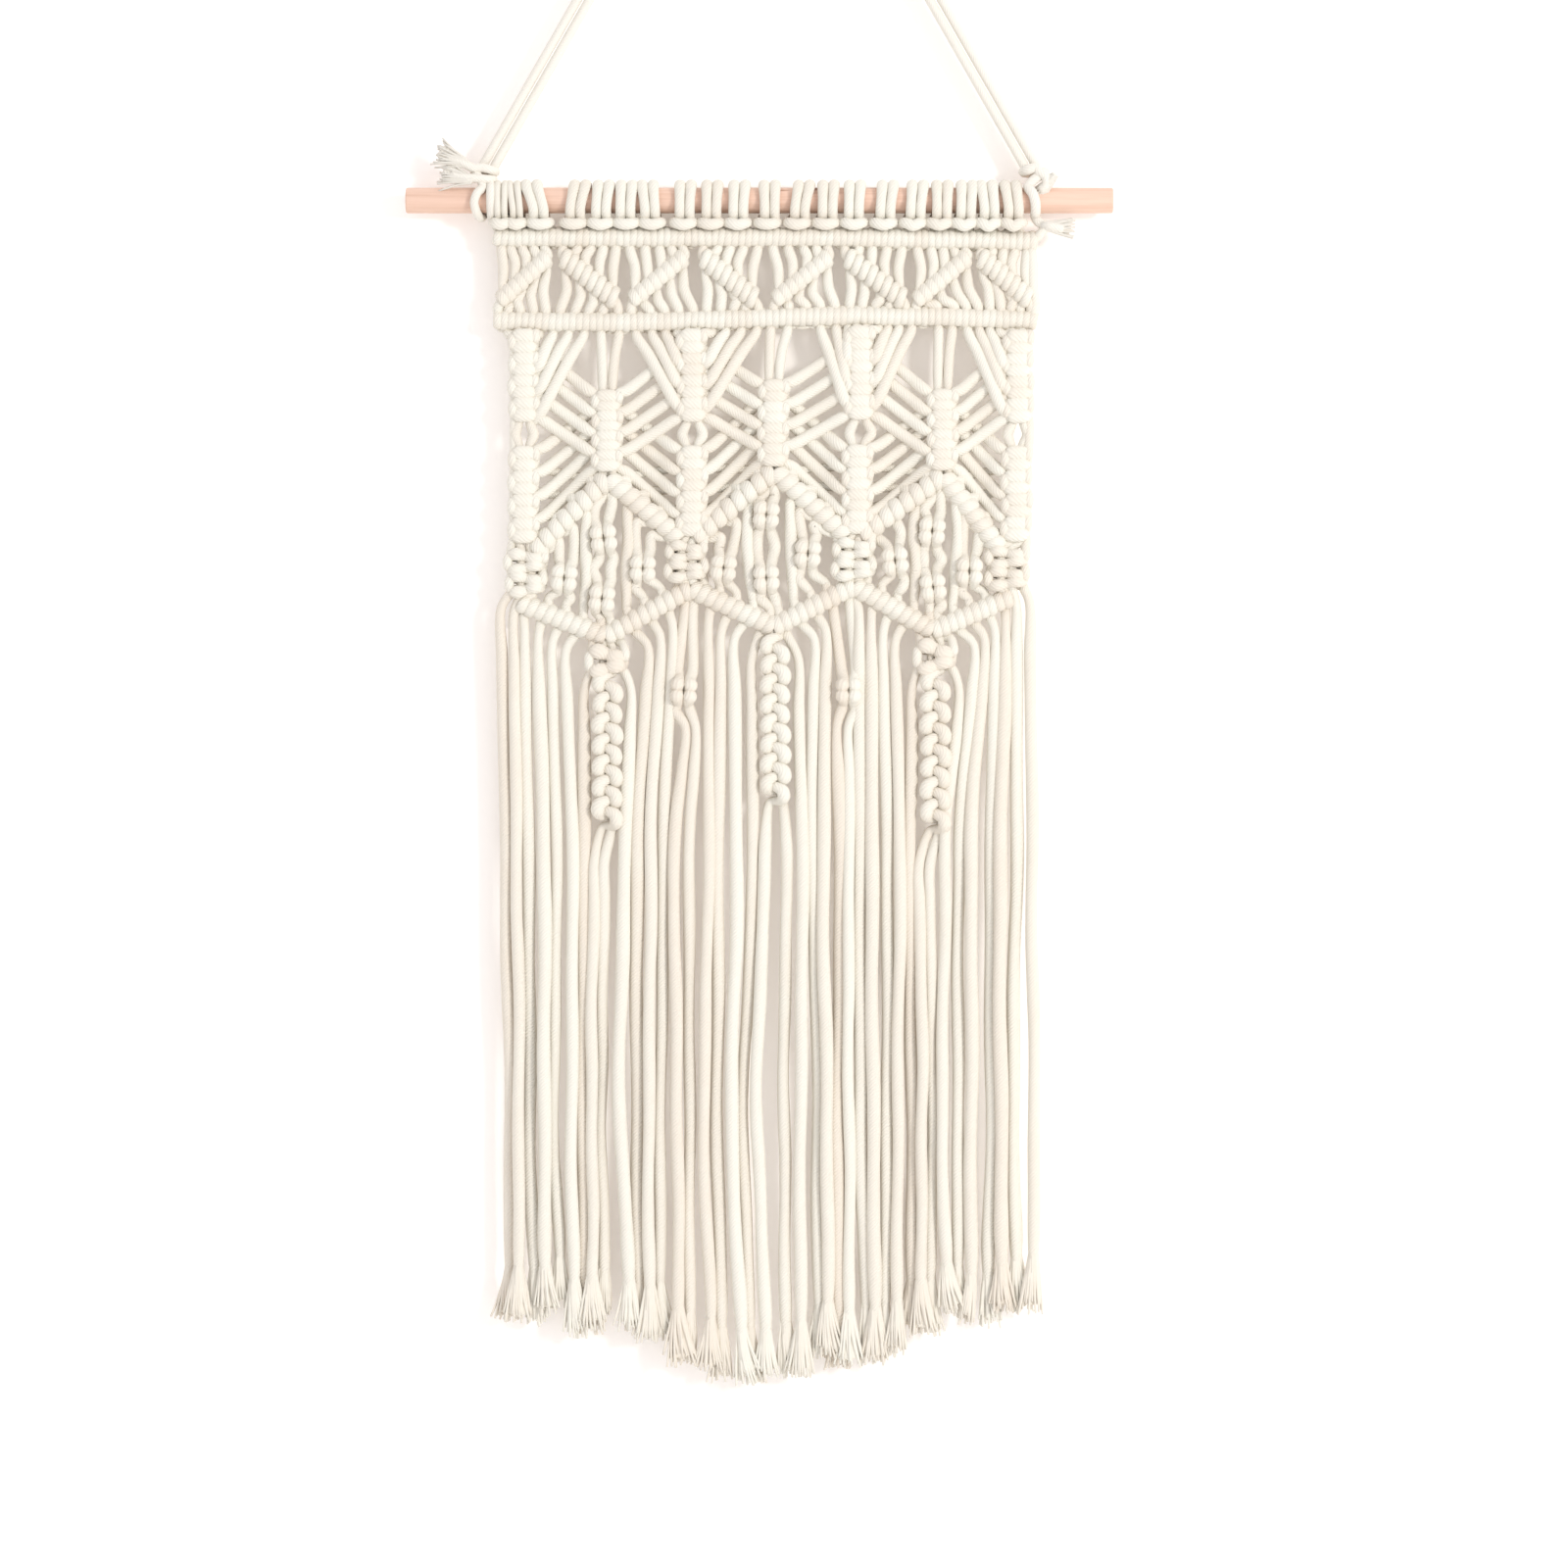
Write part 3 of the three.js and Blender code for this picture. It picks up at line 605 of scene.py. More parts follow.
# The upper holding cord ends in a short tail. The lower one runs down to its row at the right edge.
holdingTails = {
    "upper": [
        at(115.8, -2.2, 17.2, 1.9), at(118.0, -3.0, 15.6, 2.0), at(119.8, -3.4, 13.4, 1.9),
        at(121.2, -3.4, 11.2, 1.6),
    ],
    "middle": [
        at(113.6, -2.2, 51.0, 2.0), at(116.2, -2.4, 48.6, 2.2), at(116.6, -2.6, 44.0, 2.2),
        at(115.9, -2.4, 36.0, 2.3), at(115.6, -2.2, 27.0, 2.3), at(115.2, -2.0, 20.5, 2.0),
    ],
}


def makeBars():
    headingTails = [x + side * heading["tailSpread"] for x in heading["knots"] for side in (-1, 1)]
    for name, node, depthAt, above, below, endAbove, tail in (
        ("upperHitches", "upper_bar", upperDepth, headingTails, "underUpper", 5.0, "upper"),
        ("middleHitches", "middle_bar", middleDepth, panel["overMiddle"], "underMiddle", 6.0, "middle"),
    ):
        makeBar(name, node, depthAt, above, panel[below], endAbove, holdingTails[tail])


makeBars()


# In each slant of the zigzag band the cord at the top holds, and the other four are hitched over it one
# after another.
zigzag = {
    # Each slant runs between its foot and its top, across
    "slants": [
        (-110.0, -89.6), (-60.6, -83.6), (-54.2, -31.6), (-1.6, -24.2),
        (6.6, 29.6), (61.4, 36.8), (66.2, 88.4), (114.4, 93.4),
    ],
    "footDepth": 42.6,
    "topDepth": 24.2,
    "perSlant": 5,
    "longRun": 8,         # a cord that runs further than this from a row to its hitch is bowed
    "bow": 0.8,
    "tones": 0.5,
    "ribY": -3.2,
    "smooth": {"core": 1.35, "half": 2.35, "thin": 1.1, "layer": 0.7, "lean": 0.4},
    "chunky": {"core": 1.15, "half": 2.0, "thin": 1.65, "layer": 0.6, "lean": -0.9},
}


# How deep a cord leaves the upper row and enters the lower one.
def gapBetweenRows(over, under):
    return upperDepth(over) + panel["barOuter"], middleDepth(under) - panel["barOuter"]


def makeZigzag():
    bundle = newBundle()
    perSlant = zigzag["perSlant"]
    for slant, (footX, topX) in enumerate(zigzag["slants"]):
        rising = topX > footX
        footDepth = zigzag["footDepth"] + random.uniform(-0.4, 0.4)
        foot, top = (footX, footDepth), (topX, zigzag["topDepth"])
        left, right = (foot, top) if rising else (top, foot)
        along = unitAlong(left, right)
        slots = list(range(slant * perSlant, (slant + 1) * perSlant))
        holder = slots[-1] if rising else slots[0]
        workers = slots[:-1] if rising else slots[1:]
        look = zigzag["smooth"] if rising else zigzag["chunky"]
        for place, index in enumerate(workers):
            x, depth = pointBetween(left, right, (place + 0.5) / len(workers))
            over = panel["underUpper"][index]
            under = panel["overMiddle"][index + 1 if rising else index - 1]
            ceiling, floor = gapBetweenRows(over, under)
            bow = random.uniform(-zigzag["bow"], zigzag["bow"])
            knot = hitch(x, depth, along, math.dist(left, right) / len(workers), look, zigzag["ribY"])
            entry = [at(over, 0.2, ceiling - 1.6, 2.0), at(over, -1.6, ceiling + 1.2, 2.25)]
            if depth - ceiling > zigzag["longRun"]:
                entry.append(at((over + x) / 2 + bow, -2.2, (ceiling + depth) / 2 - 1.5, 2.3))
            leave = []
            if floor - depth > zigzag["longRun"]:
                leave.append(at((under + x + 1.5 * along[1]) / 2 - bow, -1.8, (floor + depth) / 2 + 1, 2.35))
            leave += [at(under, -1.6, floor - 1.2, 2.25), at(under, 0.2, floor + 1.6, 2.0)]
            addCord(bundle, [*entry, *knot, *leave], random.random() * zigzag["tones"])
        over = panel["underUpper"][holder]
        under = panel["overMiddle"][slots[0] if rising else slots[-1]]
        ceiling, floor = gapBetweenRows(over, under)
        inward = 1.0 if rising else -1.0
        holding = [
            at(over, 0.2, ceiling - 1.6, 1.9), at(over, -1.6, ceiling + 0.6, 2.1),
            at(topX, zigzag["ribY"] + 0.3, zigzag["topDepth"] - 0.2, 2.0),
            at((footX + topX) / 2, zigzag["ribY"], (footDepth + zigzag["topDepth"]) / 2, 1.5),
            at(footX + 1.2 * inward, zigzag["ribY"] + 0.2, footDepth - 1.2, 1.9),
            at((under + footX) / 2 - 0.6 * inward, -2.2, (footDepth + floor) / 2 + 1.0, 2.2),
            at(under, -0.6, floor + 1.6, 1.9),
        ]
        addCord(bundle, holding, random.random() * zigzag["tones"])
    makePiece("zigzagCords", bundle, panelCotton, "cotton", "zigzag_band")


makeZigzag()

# The net has square knots in three staggered rows of columns. Every cord has one route from the lower row
# of hitches to the pointed row.
net = {
    "knots": 4,
    "halfWidth": 6.1,
    "upper": [(-99.7, 55.6, 93.5), (-28.3, 55.6, 93.5), (42.8, 54.2, 92.6), (109.6, 56.0, 94.0)],
    "middle": [(-64.4, 81.4, 114.6), (6.2, 77.0, 112.4), (77.7, 81.0, 114.2)],
    "lower": [(-99.7, 105.1, 145.0), (-28.6, 105.1, 142.0), (41.8, 104.6, 141.0), (109.0, 105.1, 144.4)],
    "period": 12,         # cords from one column to the same place at the next
    "firstFillers": (1, 2),
    "firstFan": 3,
    "knotHalf": 2.1,
    "edge": 1.75,         # from a knot's outer edge to the middle of its side strands
    "full": (3.3, 1.4),   # a crossing's half width: the most, and as a share of its own height
    "lump": (3.5, 1.22),  # and in a loose knot
    "tones": 0.5,
    "fillerSpread": 2.1,
    "fillerY": -3.0,
    "entryDrop": [3.2, 0.2, 0.2, 1.5],   # how far below its knot each fan cord tucks in
    "strandHalf": 2.6,
    "frontY": -5.3,
    "fanStart": 4.5,      # below the lower row
    "linkShares": (0.1, 0.35, 0.65, 0.9),
    # Where a link leaves its knot and enters the next, as shares of their heights
    "linkEnds": (0.79, 0.2),
    "fanSpots": ((0.3, -2.8), (0.62, -4.4), (0.9, -4.4)),    # share of the way, and how far back
    "linkDepths": (-2.4, -1.2, -1.2, -3.0),
    "backDepths": (-0.8, 1.6, 1.2, -2.4),
}
joints = {
    "halfWidth": 8.6,
    "places": [(-98.8, 149.0, 167.6), (-30.6, 145.4, 161.4), (40.0, 144.2, 160.8), (104.8, 147.6, 164.8)],
    "ribDepths": [149.4, 143.6, 142.4, 147.4],
    "corners": [(-101.8, 170.9), (-29.3, 164.7), (40.0, 163.6), (106.6, 168.4)],
}
hexagons = {
    "apexes": [118.0, 115.0, 117.0],
    "points": [(-65.2, 185.3), (6.2, 181.2), (73.5, 182.8)],
    "ribY": -3.0,
    "ribInset": 3.0,      # from a joint's middle to the foot of a rib, across
    "aboveRib": 5.5,      # a cord heads for this far above its rib
    "behindSpots": ((0.25, 3.4), (0.75, 3.4)),
    "underRib": (0.92, 7.0),    # how steeply the ribs fall, and how far below them the cords show
    "freeDepths": (26, 40),
    "ribLook": {"core": 1.4, "half": 2.85, "thin": 1.45, "layer": 0.6, "lean": 0.6},
    "entryAbove": 6.5,    # where the cords bend towards the pointed row
    "pointedLook": {"core": 1.4, "half": 2.3, "thin": 1.35, "layer": 0.6, "lean": 0.4},
    "middles": [-66.3, 2.9, 73.2],
    # Across from the middle of a space: the cords under its left rib, and those under its right rib
    "uprightsLeft": [-19.4, -13.2, -7.4, -3.4],
    "uprightsRight": [3.8, 10.2, 14.2, 20.6],
    "smallKnots": [
        [(-82.7, 160.4)], [(-66.0, 143.5), (-66.7, 169.1)], [(-49.4, 156.3)],
        [(-15.2, 156.1)], [(2.9, 133.6), (2.9, 160.4)], [(20.5, 150.0)],
        [(57.4, 153.0)], [(73.1, 140.5), (73.5, 164.2)], [(88.9, 157.5)],
    ],
}
routes = [[] for _ in range(panel["cords"])]


# The front cord comes in from the left and crosses twice before the fillers. The back cord crosses behind
# them and holds the front cord at both sides. In a loose knot both crossings sink in the middle, so that
# they look like four lumps.
def squareKnot(x, depth, height, halfWidth, front, back, loose=False):
    reach = halfWidth - net["edge"]
    rise = height / 4
    most, slope = net["lump" if loose else "full"]
    full = min(most, slope * rise)
    slim = net["knotHalf"]
    face = net["frontY"] + random.uniform(-0.15, 0.15)
    middle = (face + 1.0, 0.78 * full) if loose else (face, full)
    bulge = (face - 0.5, full) if loose else (face + 0.3, full)
    aside = 0.58 if loose else 0.5
    thin = 2.4 if loose else 2.0
    slant = random.uniform(0.35, 0.5) * rise if loose else 0.1
    frontStages = [
        (-0.94, face + 2.4, -rise - 0.7, slim), (-aside, bulge[0], -rise - slant, bulge[1]),
        (0, middle[0], -rise, middle[1]), (aside, bulge[0], -rise + slant, bulge[1]),
        (0.93, face + 2.4, -rise + 0.8, slim),
        (1.02, face + 3.2, 0, slim), (0.93, face + 2.4, rise - 0.8, slim),
        (aside, bulge[0], rise - slant, bulge[1]), (0, middle[0], rise, middle[1]),
        (-aside, bulge[0], rise + slant, bulge[1]), (-0.94, face + 2.2, rise + 0.5, slim),
    ]
    backStages = [
        (1.08, face + 1.0, -rise - 1.2, slim), (1.1, face + 0.3, -rise + 0.5, slim),
        (0.95, face + 2.6, -rise + 1.9, slim), (0.5, face + 6.2, -rise + 0.6, slim),
        (0, face + 6.8, -rise, slim),
        (-0.5, face + 6.2, -rise + 0.1, slim), (-1.0, face + 3.2, -rise - 0.1, slim),
        (-1.12, face + 0.8, -rise + 1.0, slim), (-1.14, face + 0.4, 0, slim),
        (-1.12, face + 0.8, rise - 1.0, slim),
        (-1.0, face + 3.2, rise + 0.1, slim), (-0.5, face + 6.2, rise, slim), (0, face + 6.8, rise, slim),
        (0.5, face + 6.0, rise + 0.3, slim), (0.95, face + 3.6, rise + 0.9, slim),
    ]
    for cord, stages in ((front, frontStages), (back, backStages)):
        for share, y, down, half in stages:
            routes[cord].append(at(x + share * reach, y, depth + down, half, min(thin, half)))


def knotColumn(place, leftCords, rightCords, fillers, halfWidth, count, loose=False):
    x, top, bottom = place
    height = (bottom - top) / count
    fillerHalf = 2.1 if loose else 1.8
    for side, filler in zip((-1, 1), fillers):
        for share in (0.0, 0.5, 1.0):
            down = top + share * (bottom - top)
            passing(filler, x + side * net["fillerSpread"], net["fillerY"], down, fillerHalf)
    for knot in range(count):
        depth = top + (knot + 0.5) * height
        jog = random.uniform(-0.3, 0.3)
        width = halfWidth + random.uniform(-0.5, 0.5) if loose else halfWidth
        squareKnot(x + jog, depth, height, width, leftCords[knot], rightCords[knot], loose=loose)


# Drops a cord's last loose stations where the next knot on it would lie higher than they do.
def cutShort(cord, depth):
    for _ in range(3):
        _, y, z, half = routes[cord][-1][:4]
        if half < 2.55 and abs(y) < 2.3 and z < rodHeight - depth + 2.5:
            routes[cord].pop()


# A cord on its way between two knots, in front of or behind the cords that it crosses.
def passing(cord, x, y, depth, half=2.0):
    routes[cord].append(at(x, y, depth, half))


# The same along a straight line, where each spot is a share of the way and how far back the cord lies.
def passingBetween(cord, start, end, spots, half=2.0):
    for share, y in spots:
        x, depth = pointBetween(start, end, share)
        passing(cord, x, y, depth, half)


# A holding cord lies inside its rib.
def holdRib(cord, start, end, shares, y):
    passingBetween(cord, start, end, [(share, y) for share in shares], 1.5)


# The cords that tie the knots of an outer column, from the top down, at its left and at its right.
def columnCords(index):
    first = net["firstFan"] + net["period"] * index
    left = [first - 3 - knot for knot in range(net["knots"])]
    right = [first + knot for knot in range(net["knots"])]
    if index == 0:
        left = [0] * net["knots"]
    if index == len(net["upper"]) - 1:
        right = [panel["cords"] - 1] * net["knots"]
    return left, right


def fillersOf(index):
    return [filler + net["period"] * index for filler in net["firstFillers"]]


# The cords of the space between two outer columns: those that come from the left, from the outermost in,
# those that come from the right, and the two fillers in the middle.
def spaceCords(index):
    count = net["knots"]
    first = net["firstFan"] + net["period"] * index
    left = [first + knot for knot in range(count)]
    right = [first + 2 * count + 1 - knot for knot in range(count)]
    return left, right, (first + count, first + count + 1)


def startRoutes():
    for cord, x in enumerate(panel["underMiddle"]):
        passing(cord, x, 0.6, middleDepth(x) + 2.2, 1.8)
        passing(cord, x, -1.8, middleDepth(x) + 5.6, 2.15)


def runFans(index, place, left, right):
    x, top, bottom = place
    height = (bottom - top) / net["knots"]
    for side, cords in ((-1, left), (1, right)):
        for knot, cord in enumerate(cords):
            if knot == 0 or cord in (0, panel["cords"] - 1):
                continue
            centre = top + (knot + 0.5) * height
            drop = net["entryDrop"][index] * (0.5 + 0.25 * knot)
            fromX = panel["underMiddle"][cord]
            start = (fromX, middleDepth(fromX) + net["fanStart"])
            end = (x + side * (net["halfWidth"] - 0.4), centre + drop)
            passingBetween(cord, start, end, net["fanSpots"], net["strandHalf"])
            passing(cord, x + side * (net["halfWidth"] - 2.4), -1.4, centre + drop + 1.0)
            passing(cord, x + side * (net["halfWidth"] - 2.8), 0.6, centre - 0.6, 1.8)


def makeColumns():
    half = net["halfWidth"]
    count = net["knots"]
    for index, place in enumerate(net["upper"]):
        left, right = columnCords(index)
        runFans(index, place, left, right)
        knotColumn(place, left, right, fillersOf(index), half, count)
    for index, place in enumerate(net["middle"]):
        x, top, _ = place
        left, right, fillers = spaceCords(index)
        for side, cords, neighbour in ((-1, left, net["upper"][index]), (1, right, net["upper"][index + 1])):
            runLinks(neighbour, place, side, cords, net["linkDepths"])
        under = middleDepth(x) + 5
        for filler, side in zip(fillers, (-1, 1)):
            start = panel["underMiddle"][filler]
            for share in (0.35, 0.75):
                bow = 1 - (1 - share) ** 2
                across = start + (x + side * net["fillerSpread"] - start) * bow
                passing(filler, across, panelY, under + (top - under) * share, 2.15)
        knotColumn(place, left, right, fillers, half, count)
    for index, place in enumerate(net["lower"]):
        left, right = columnCords(index)
        for side, cords in ((-1, left), (1, right)):
            middle = index - 1 if side < 0 else index
            if 0 <= middle < len(net["middle"]):
                runLinks(net["middle"][middle], place, side, cords, net["backDepths"])
        for filler, side in zip(fillersOf(index), (-1, 1)):
            upper = net["upper"][index]
            passing(filler, upper[0] + side * random.uniform(3.6, 4.6), -2.4, (upper[2] + place[1]) / 2, 2.4)
        knotColumn(place, left, right, fillersOf(index), half, count)
    print("columns routed")


# Links from the knots of one column to those of the next, where side is the side they come in from.
def runLinks(upper, lower, side, cords, depths):
    half = net["halfWidth"]
    leave, enter = net["linkEnds"]
    upperHeight = (upper[2] - upper[1]) / net["knots"]
    lowerHeight = (lower[2] - lower[1]) / net["knots"]
    for knot, cord in enumerate(cords):
        start = (upper[0] - side * (half - 1.2), upper[1] + (knot + leave) * upperHeight)
        end = (lower[0] + side * (half - 1.0), lower[1] + (knot + enter) * lowerHeight)
        passingBetween(cord, start, end, zip(net["linkShares"], depths), net["strandHalf"])


# A small knot of two cords has four round lobes about a hole, where both cords dive behind. Each stage of
# the left cord is its place across from the hole, how far back it lies, how far down, and its half width.
smallKnotLobes = [
    (-3.1, -1.2, -8.4, 2.5), (-2.3, -1.8, -5.8, 2.2), (-2.2, -4.4, -4.0, 2.45), (-2.75, -5.9, -2.35, 3.0),
    (-2.3, -4.4, -0.9, 2.3), (-0.7, -0.4, 0.0, 1.8), (-2.3, -4.4, 0.9, 2.3), (-2.75, -5.9, 2.35, 3.0),
    (-2.2, -4.4, 4.0, 2.45), (-2.3, -1.8, 5.8, 2.2), (-3.1, -1.2, 8.4, 2.5),
]


def smallKnot(leftCord, rightCord, x, depth):
    size = random.uniform(0.95, 1.03)
    tilt = random.uniform(-0.12, 0.12)
    for cord, side in ((leftCord, 1), (rightCord, -1)):
        for across, y, down, half in smallKnotLobes:
            back = 3.4 if side < 0 and abs(across) < 1 else 0
            across = side * across * size
            if down < -5 and routes[cord][-1][2] < rodHeight - depth - down + 2.5:
                continue
            place = (x + across + tilt * down, y + back, depth + down * size - tilt * across)
            passing(cord, *place, half)


def makeHexagons():
    count = net["knots"]
    for index, apexDepth in enumerate(hexagons["apexes"]):
        columnX = net["middle"][index][0]
        apex = (columnX, apexDepth)
        left, right, holders = spaceCords(index)
        halves = ((-1, left, holders[0], index), (1, right, holders[1], index + 1))
        for side, cords, holder, jointIndex in halves:
            footX = joints["places"][jointIndex][0] - side * hexagons["ribInset"]
            foot = (footX, joints["ribDepths"][jointIndex])
            lowerX, lowerTop, lowerBottom = net["lower"][jointIndex]
            step = (lowerBottom - lowerTop) / count
            along = unitAlong(foot, apex) if side < 0 else unitAlong(apex, foot)
            passing(holder, columnX + side * 1.8, panelY - 0.5, apexDepth - 0.8, 1.8)
            holdRib(holder, apex, foot, (0.2, 0.5, 0.8), hexagons["ribY"])
            for knot, cord in enumerate(cords):
                x, depth = pointBetween(apex, foot, (knot + 0.5) / count)
                start = (lowerX - side * (net["halfWidth"] - 0.5), lowerTop + (knot + 0.85) * step)
                above = (x + along[1] * hexagons["aboveRib"], depth - along[0] * hexagons["aboveRib"])
                passingBetween(cord, start, above, hexagons["behindSpots"])
                pitch = math.dist(apex, foot) / count
                routes[cord] += hitch(x, depth, along, pitch, hexagons["ribLook"], hexagons["ribY"])
    last = len(joints["places"]) - 1
    for index, place in enumerate(joints["places"]):
        leftCord = spaceCords(index - 1)[2][1] if index > 0 else 0
        rightCord = spaceCords(index)[2][0] if index < last else panel["cords"] - 1
        fillers = fillersOf(index)
        knotColumn(place, [leftCord] * 2, [rightCord] * 2, fillers, joints["halfWidth"], 2, loose=True)


def makeUprights():
    for index, middleX in enumerate(hexagons["middles"]):
        columnX = net["middle"][index][0]
        left, rightCords, _ = spaceCords(index)
        leftCords = left[::-1]
        across = dict(zip(leftCords + rightCords, hexagons["uprightsLeft"] + hexagons["uprightsRight"]))
        apexDepth = hexagons["apexes"][index]
        knotGroups = hexagons["smallKnots"][3 * index:3 * index + 3]
        pairs = [(leftCords[0], leftCords[1]), (leftCords[3], rightCords[0]), (rightCords[2], rightCords[3])]
        slope, below = hexagons["underRib"]
        for cord in (*leftCords, *rightCords):
            x = middleX + across[cord] + random.uniform(-0.4, 0.4)
            passing(cord, x, panelY, apexDepth + abs(x - columnX) * slope + below, 2.4)
        for cord in (leftCords[2], rightCords[1]):
            for down in hexagons["freeDepths"]:
                x = middleX + across[cord] + random.uniform(-0.8, 0.8)
                passing(cord, x, panelY, apexDepth + down, 2.6)
        for (leftCord, rightCord), places in zip(pairs, knotGroups):
            for number, (x, depth) in enumerate(places):
                if number:
                    between = (depth + places[number - 1][1]) / 2
                    passing(leftCord, x - 3.9, panelY, between, 2.5)
                    passing(rightCord, x + 3.7, panelY, between, 2.5)
                smallKnot(leftCord, rightCord, x, depth)
                if len(places) == 1:
                    passing(leftCord, x - 3.6, panelY, depth + 11.0, 2.3)
                    passing(rightCord, x + 3.4, panelY, depth + 11.0, 2.3)


spirals = {
    "names": ["spiralLeft", "spiralMiddle", "spiralRight"],
    "nodes": ["spiral_left", "spiral_middle", "spiral_right"],
    "places": [(-64.4, 201.5, 263.5), (6.6, 185.8, 253.0), (74.6, 200.5, 265.0)],
    "gatherTops": [189.8, None, 187.4],
    "halfTurn": 8.7,
    "beside": 9.8,
    "gatherHalf": 8.6,
    "gatherFrom": 6.4,
    # One loop of the right cord: across from the middle, how far back, how far down, and its half width
    "loop": [
        (2.1, -0.6, -0.9, 2.1), (-0.4, -4.0, -0.1, 2.3), (-3.2, -5.0, 1.6, 2.85), (-3.9, -4.8, 4.0, 2.9),
        (-2.9, -2.4, 5.9, 2.4), (0.2, 0.4, 6.1, 2.0), (2.3, 0.8, 6.9, 2.0),
    ],
}
fringeOrder = []


# Below two of the points a wide knot gathers the cords before the chain starts.
def gatherKnot(index, leftCord, rightCord, leftHolder, rightHolder):
    x, chainTop, _ = spirals["places"][index]
    top = spirals["gatherTops"][index]
    if top is None:
        return
    height = chainTop - top
    for holder, side in ((leftHolder, -1), (rightHolder, 1)):
        passing(holder, x + side * 2.0, panelY, top, 1.8)
        passing(holder, x + side * 2.0, panelY, chainTop - 1, 1.8)
    for cord, side in ((leftCord, -1), (rightCord, 1)):
        passing(cord, x + side * spirals["gatherFrom"], panelY, top - 1.5)
    squareKnot(x, top + height / 2, height, spirals["gatherHalf"], leftCord, rightCord, loose=True)


def makePointedRow():
    fringeOrder.extend([0, 1])
    rowY = panelY - 0.6
    for index, point in enumerate(hexagons["points"]):
        left, right, fillers = spaceCords(index)
        leftWorkers = [fillers[0], *left[::-1]]
        rightWorkers = [*right, fillers[1]]
        leftHolder = fillersOf(index)[1]
        rightHolder = fillersOf(index + 1)[0]
        leftCorner, rightCorner = joints["corners"][index:index + 2]
        for workers, start, end in ((leftWorkers, leftCorner, point), (rightWorkers, point, rightCorner)):
            pitch = math.dist(start, end) / len(workers)
            along = unitAlong(start, end)
            for place, cord in enumerate(workers):
                x, depth = pointBetween(start, end, (place + 0.5) / len(workers))
                entry = depth - hexagons["entryAbove"]
                cutShort(cord, entry)
                passing(cord, x + along[1] * 4, -1.2, entry)
                routes[cord] += hitch(x, depth, along, pitch, hexagons["pointedLook"], rowY)
        for holder, corner, side in ((leftHolder, leftCorner, -1), (rightHolder, rightCorner, 1)):
            passing(holder, corner[0] - side * 0.8, panelY - 0.4, corner[1] - 1.0, 1.8)
            holdRib(holder, corner, point, (0.25, 0.5, 0.75), rowY)
            passing(holder, point[0] + side * 1.4, rowY, point[1] + 0.6, 1.8)
        gatherKnot(index, leftWorkers[-1], rightWorkers[0], leftHolder, rightHolder)
        fringeOrder.extend([*leftWorkers, leftHolder, rightHolder, *rightWorkers])
    fringeOrder.extend([panel["cords"] - 2, panel["cords"] - 1])


startRoutes()
makeColumns()
makeHexagons()
makeUprights()
netEnds = [len(route) for route in routes]
makePointedRow()
# Two small knots in the fringe: across, depth and the first of their two cords
for knotX, knotDepth, first in ((-32.0, 208.0, 13), (37.8, 208.0, 24)):
    smallKnot(fringeOrder[first], fringeOrder[first + 1], knotX, knotDepth)
cordTone = [random.random() * net["tones"] for _ in range(panel["cords"])]


def makeNet():
    half = panel["cords"] // 2
    for name, cords in (("netLeft", range(half)), ("netRight", range(half, panel["cords"]))):
        bundle = newBundle()
        for cord in cords:
            addCord(bundle, routes[cord][:netEnds[cord] + 1], cordTone[cord])
        makePiece(name, bundle, panelCotton, "cotton", "knotted_net")


makeNet()


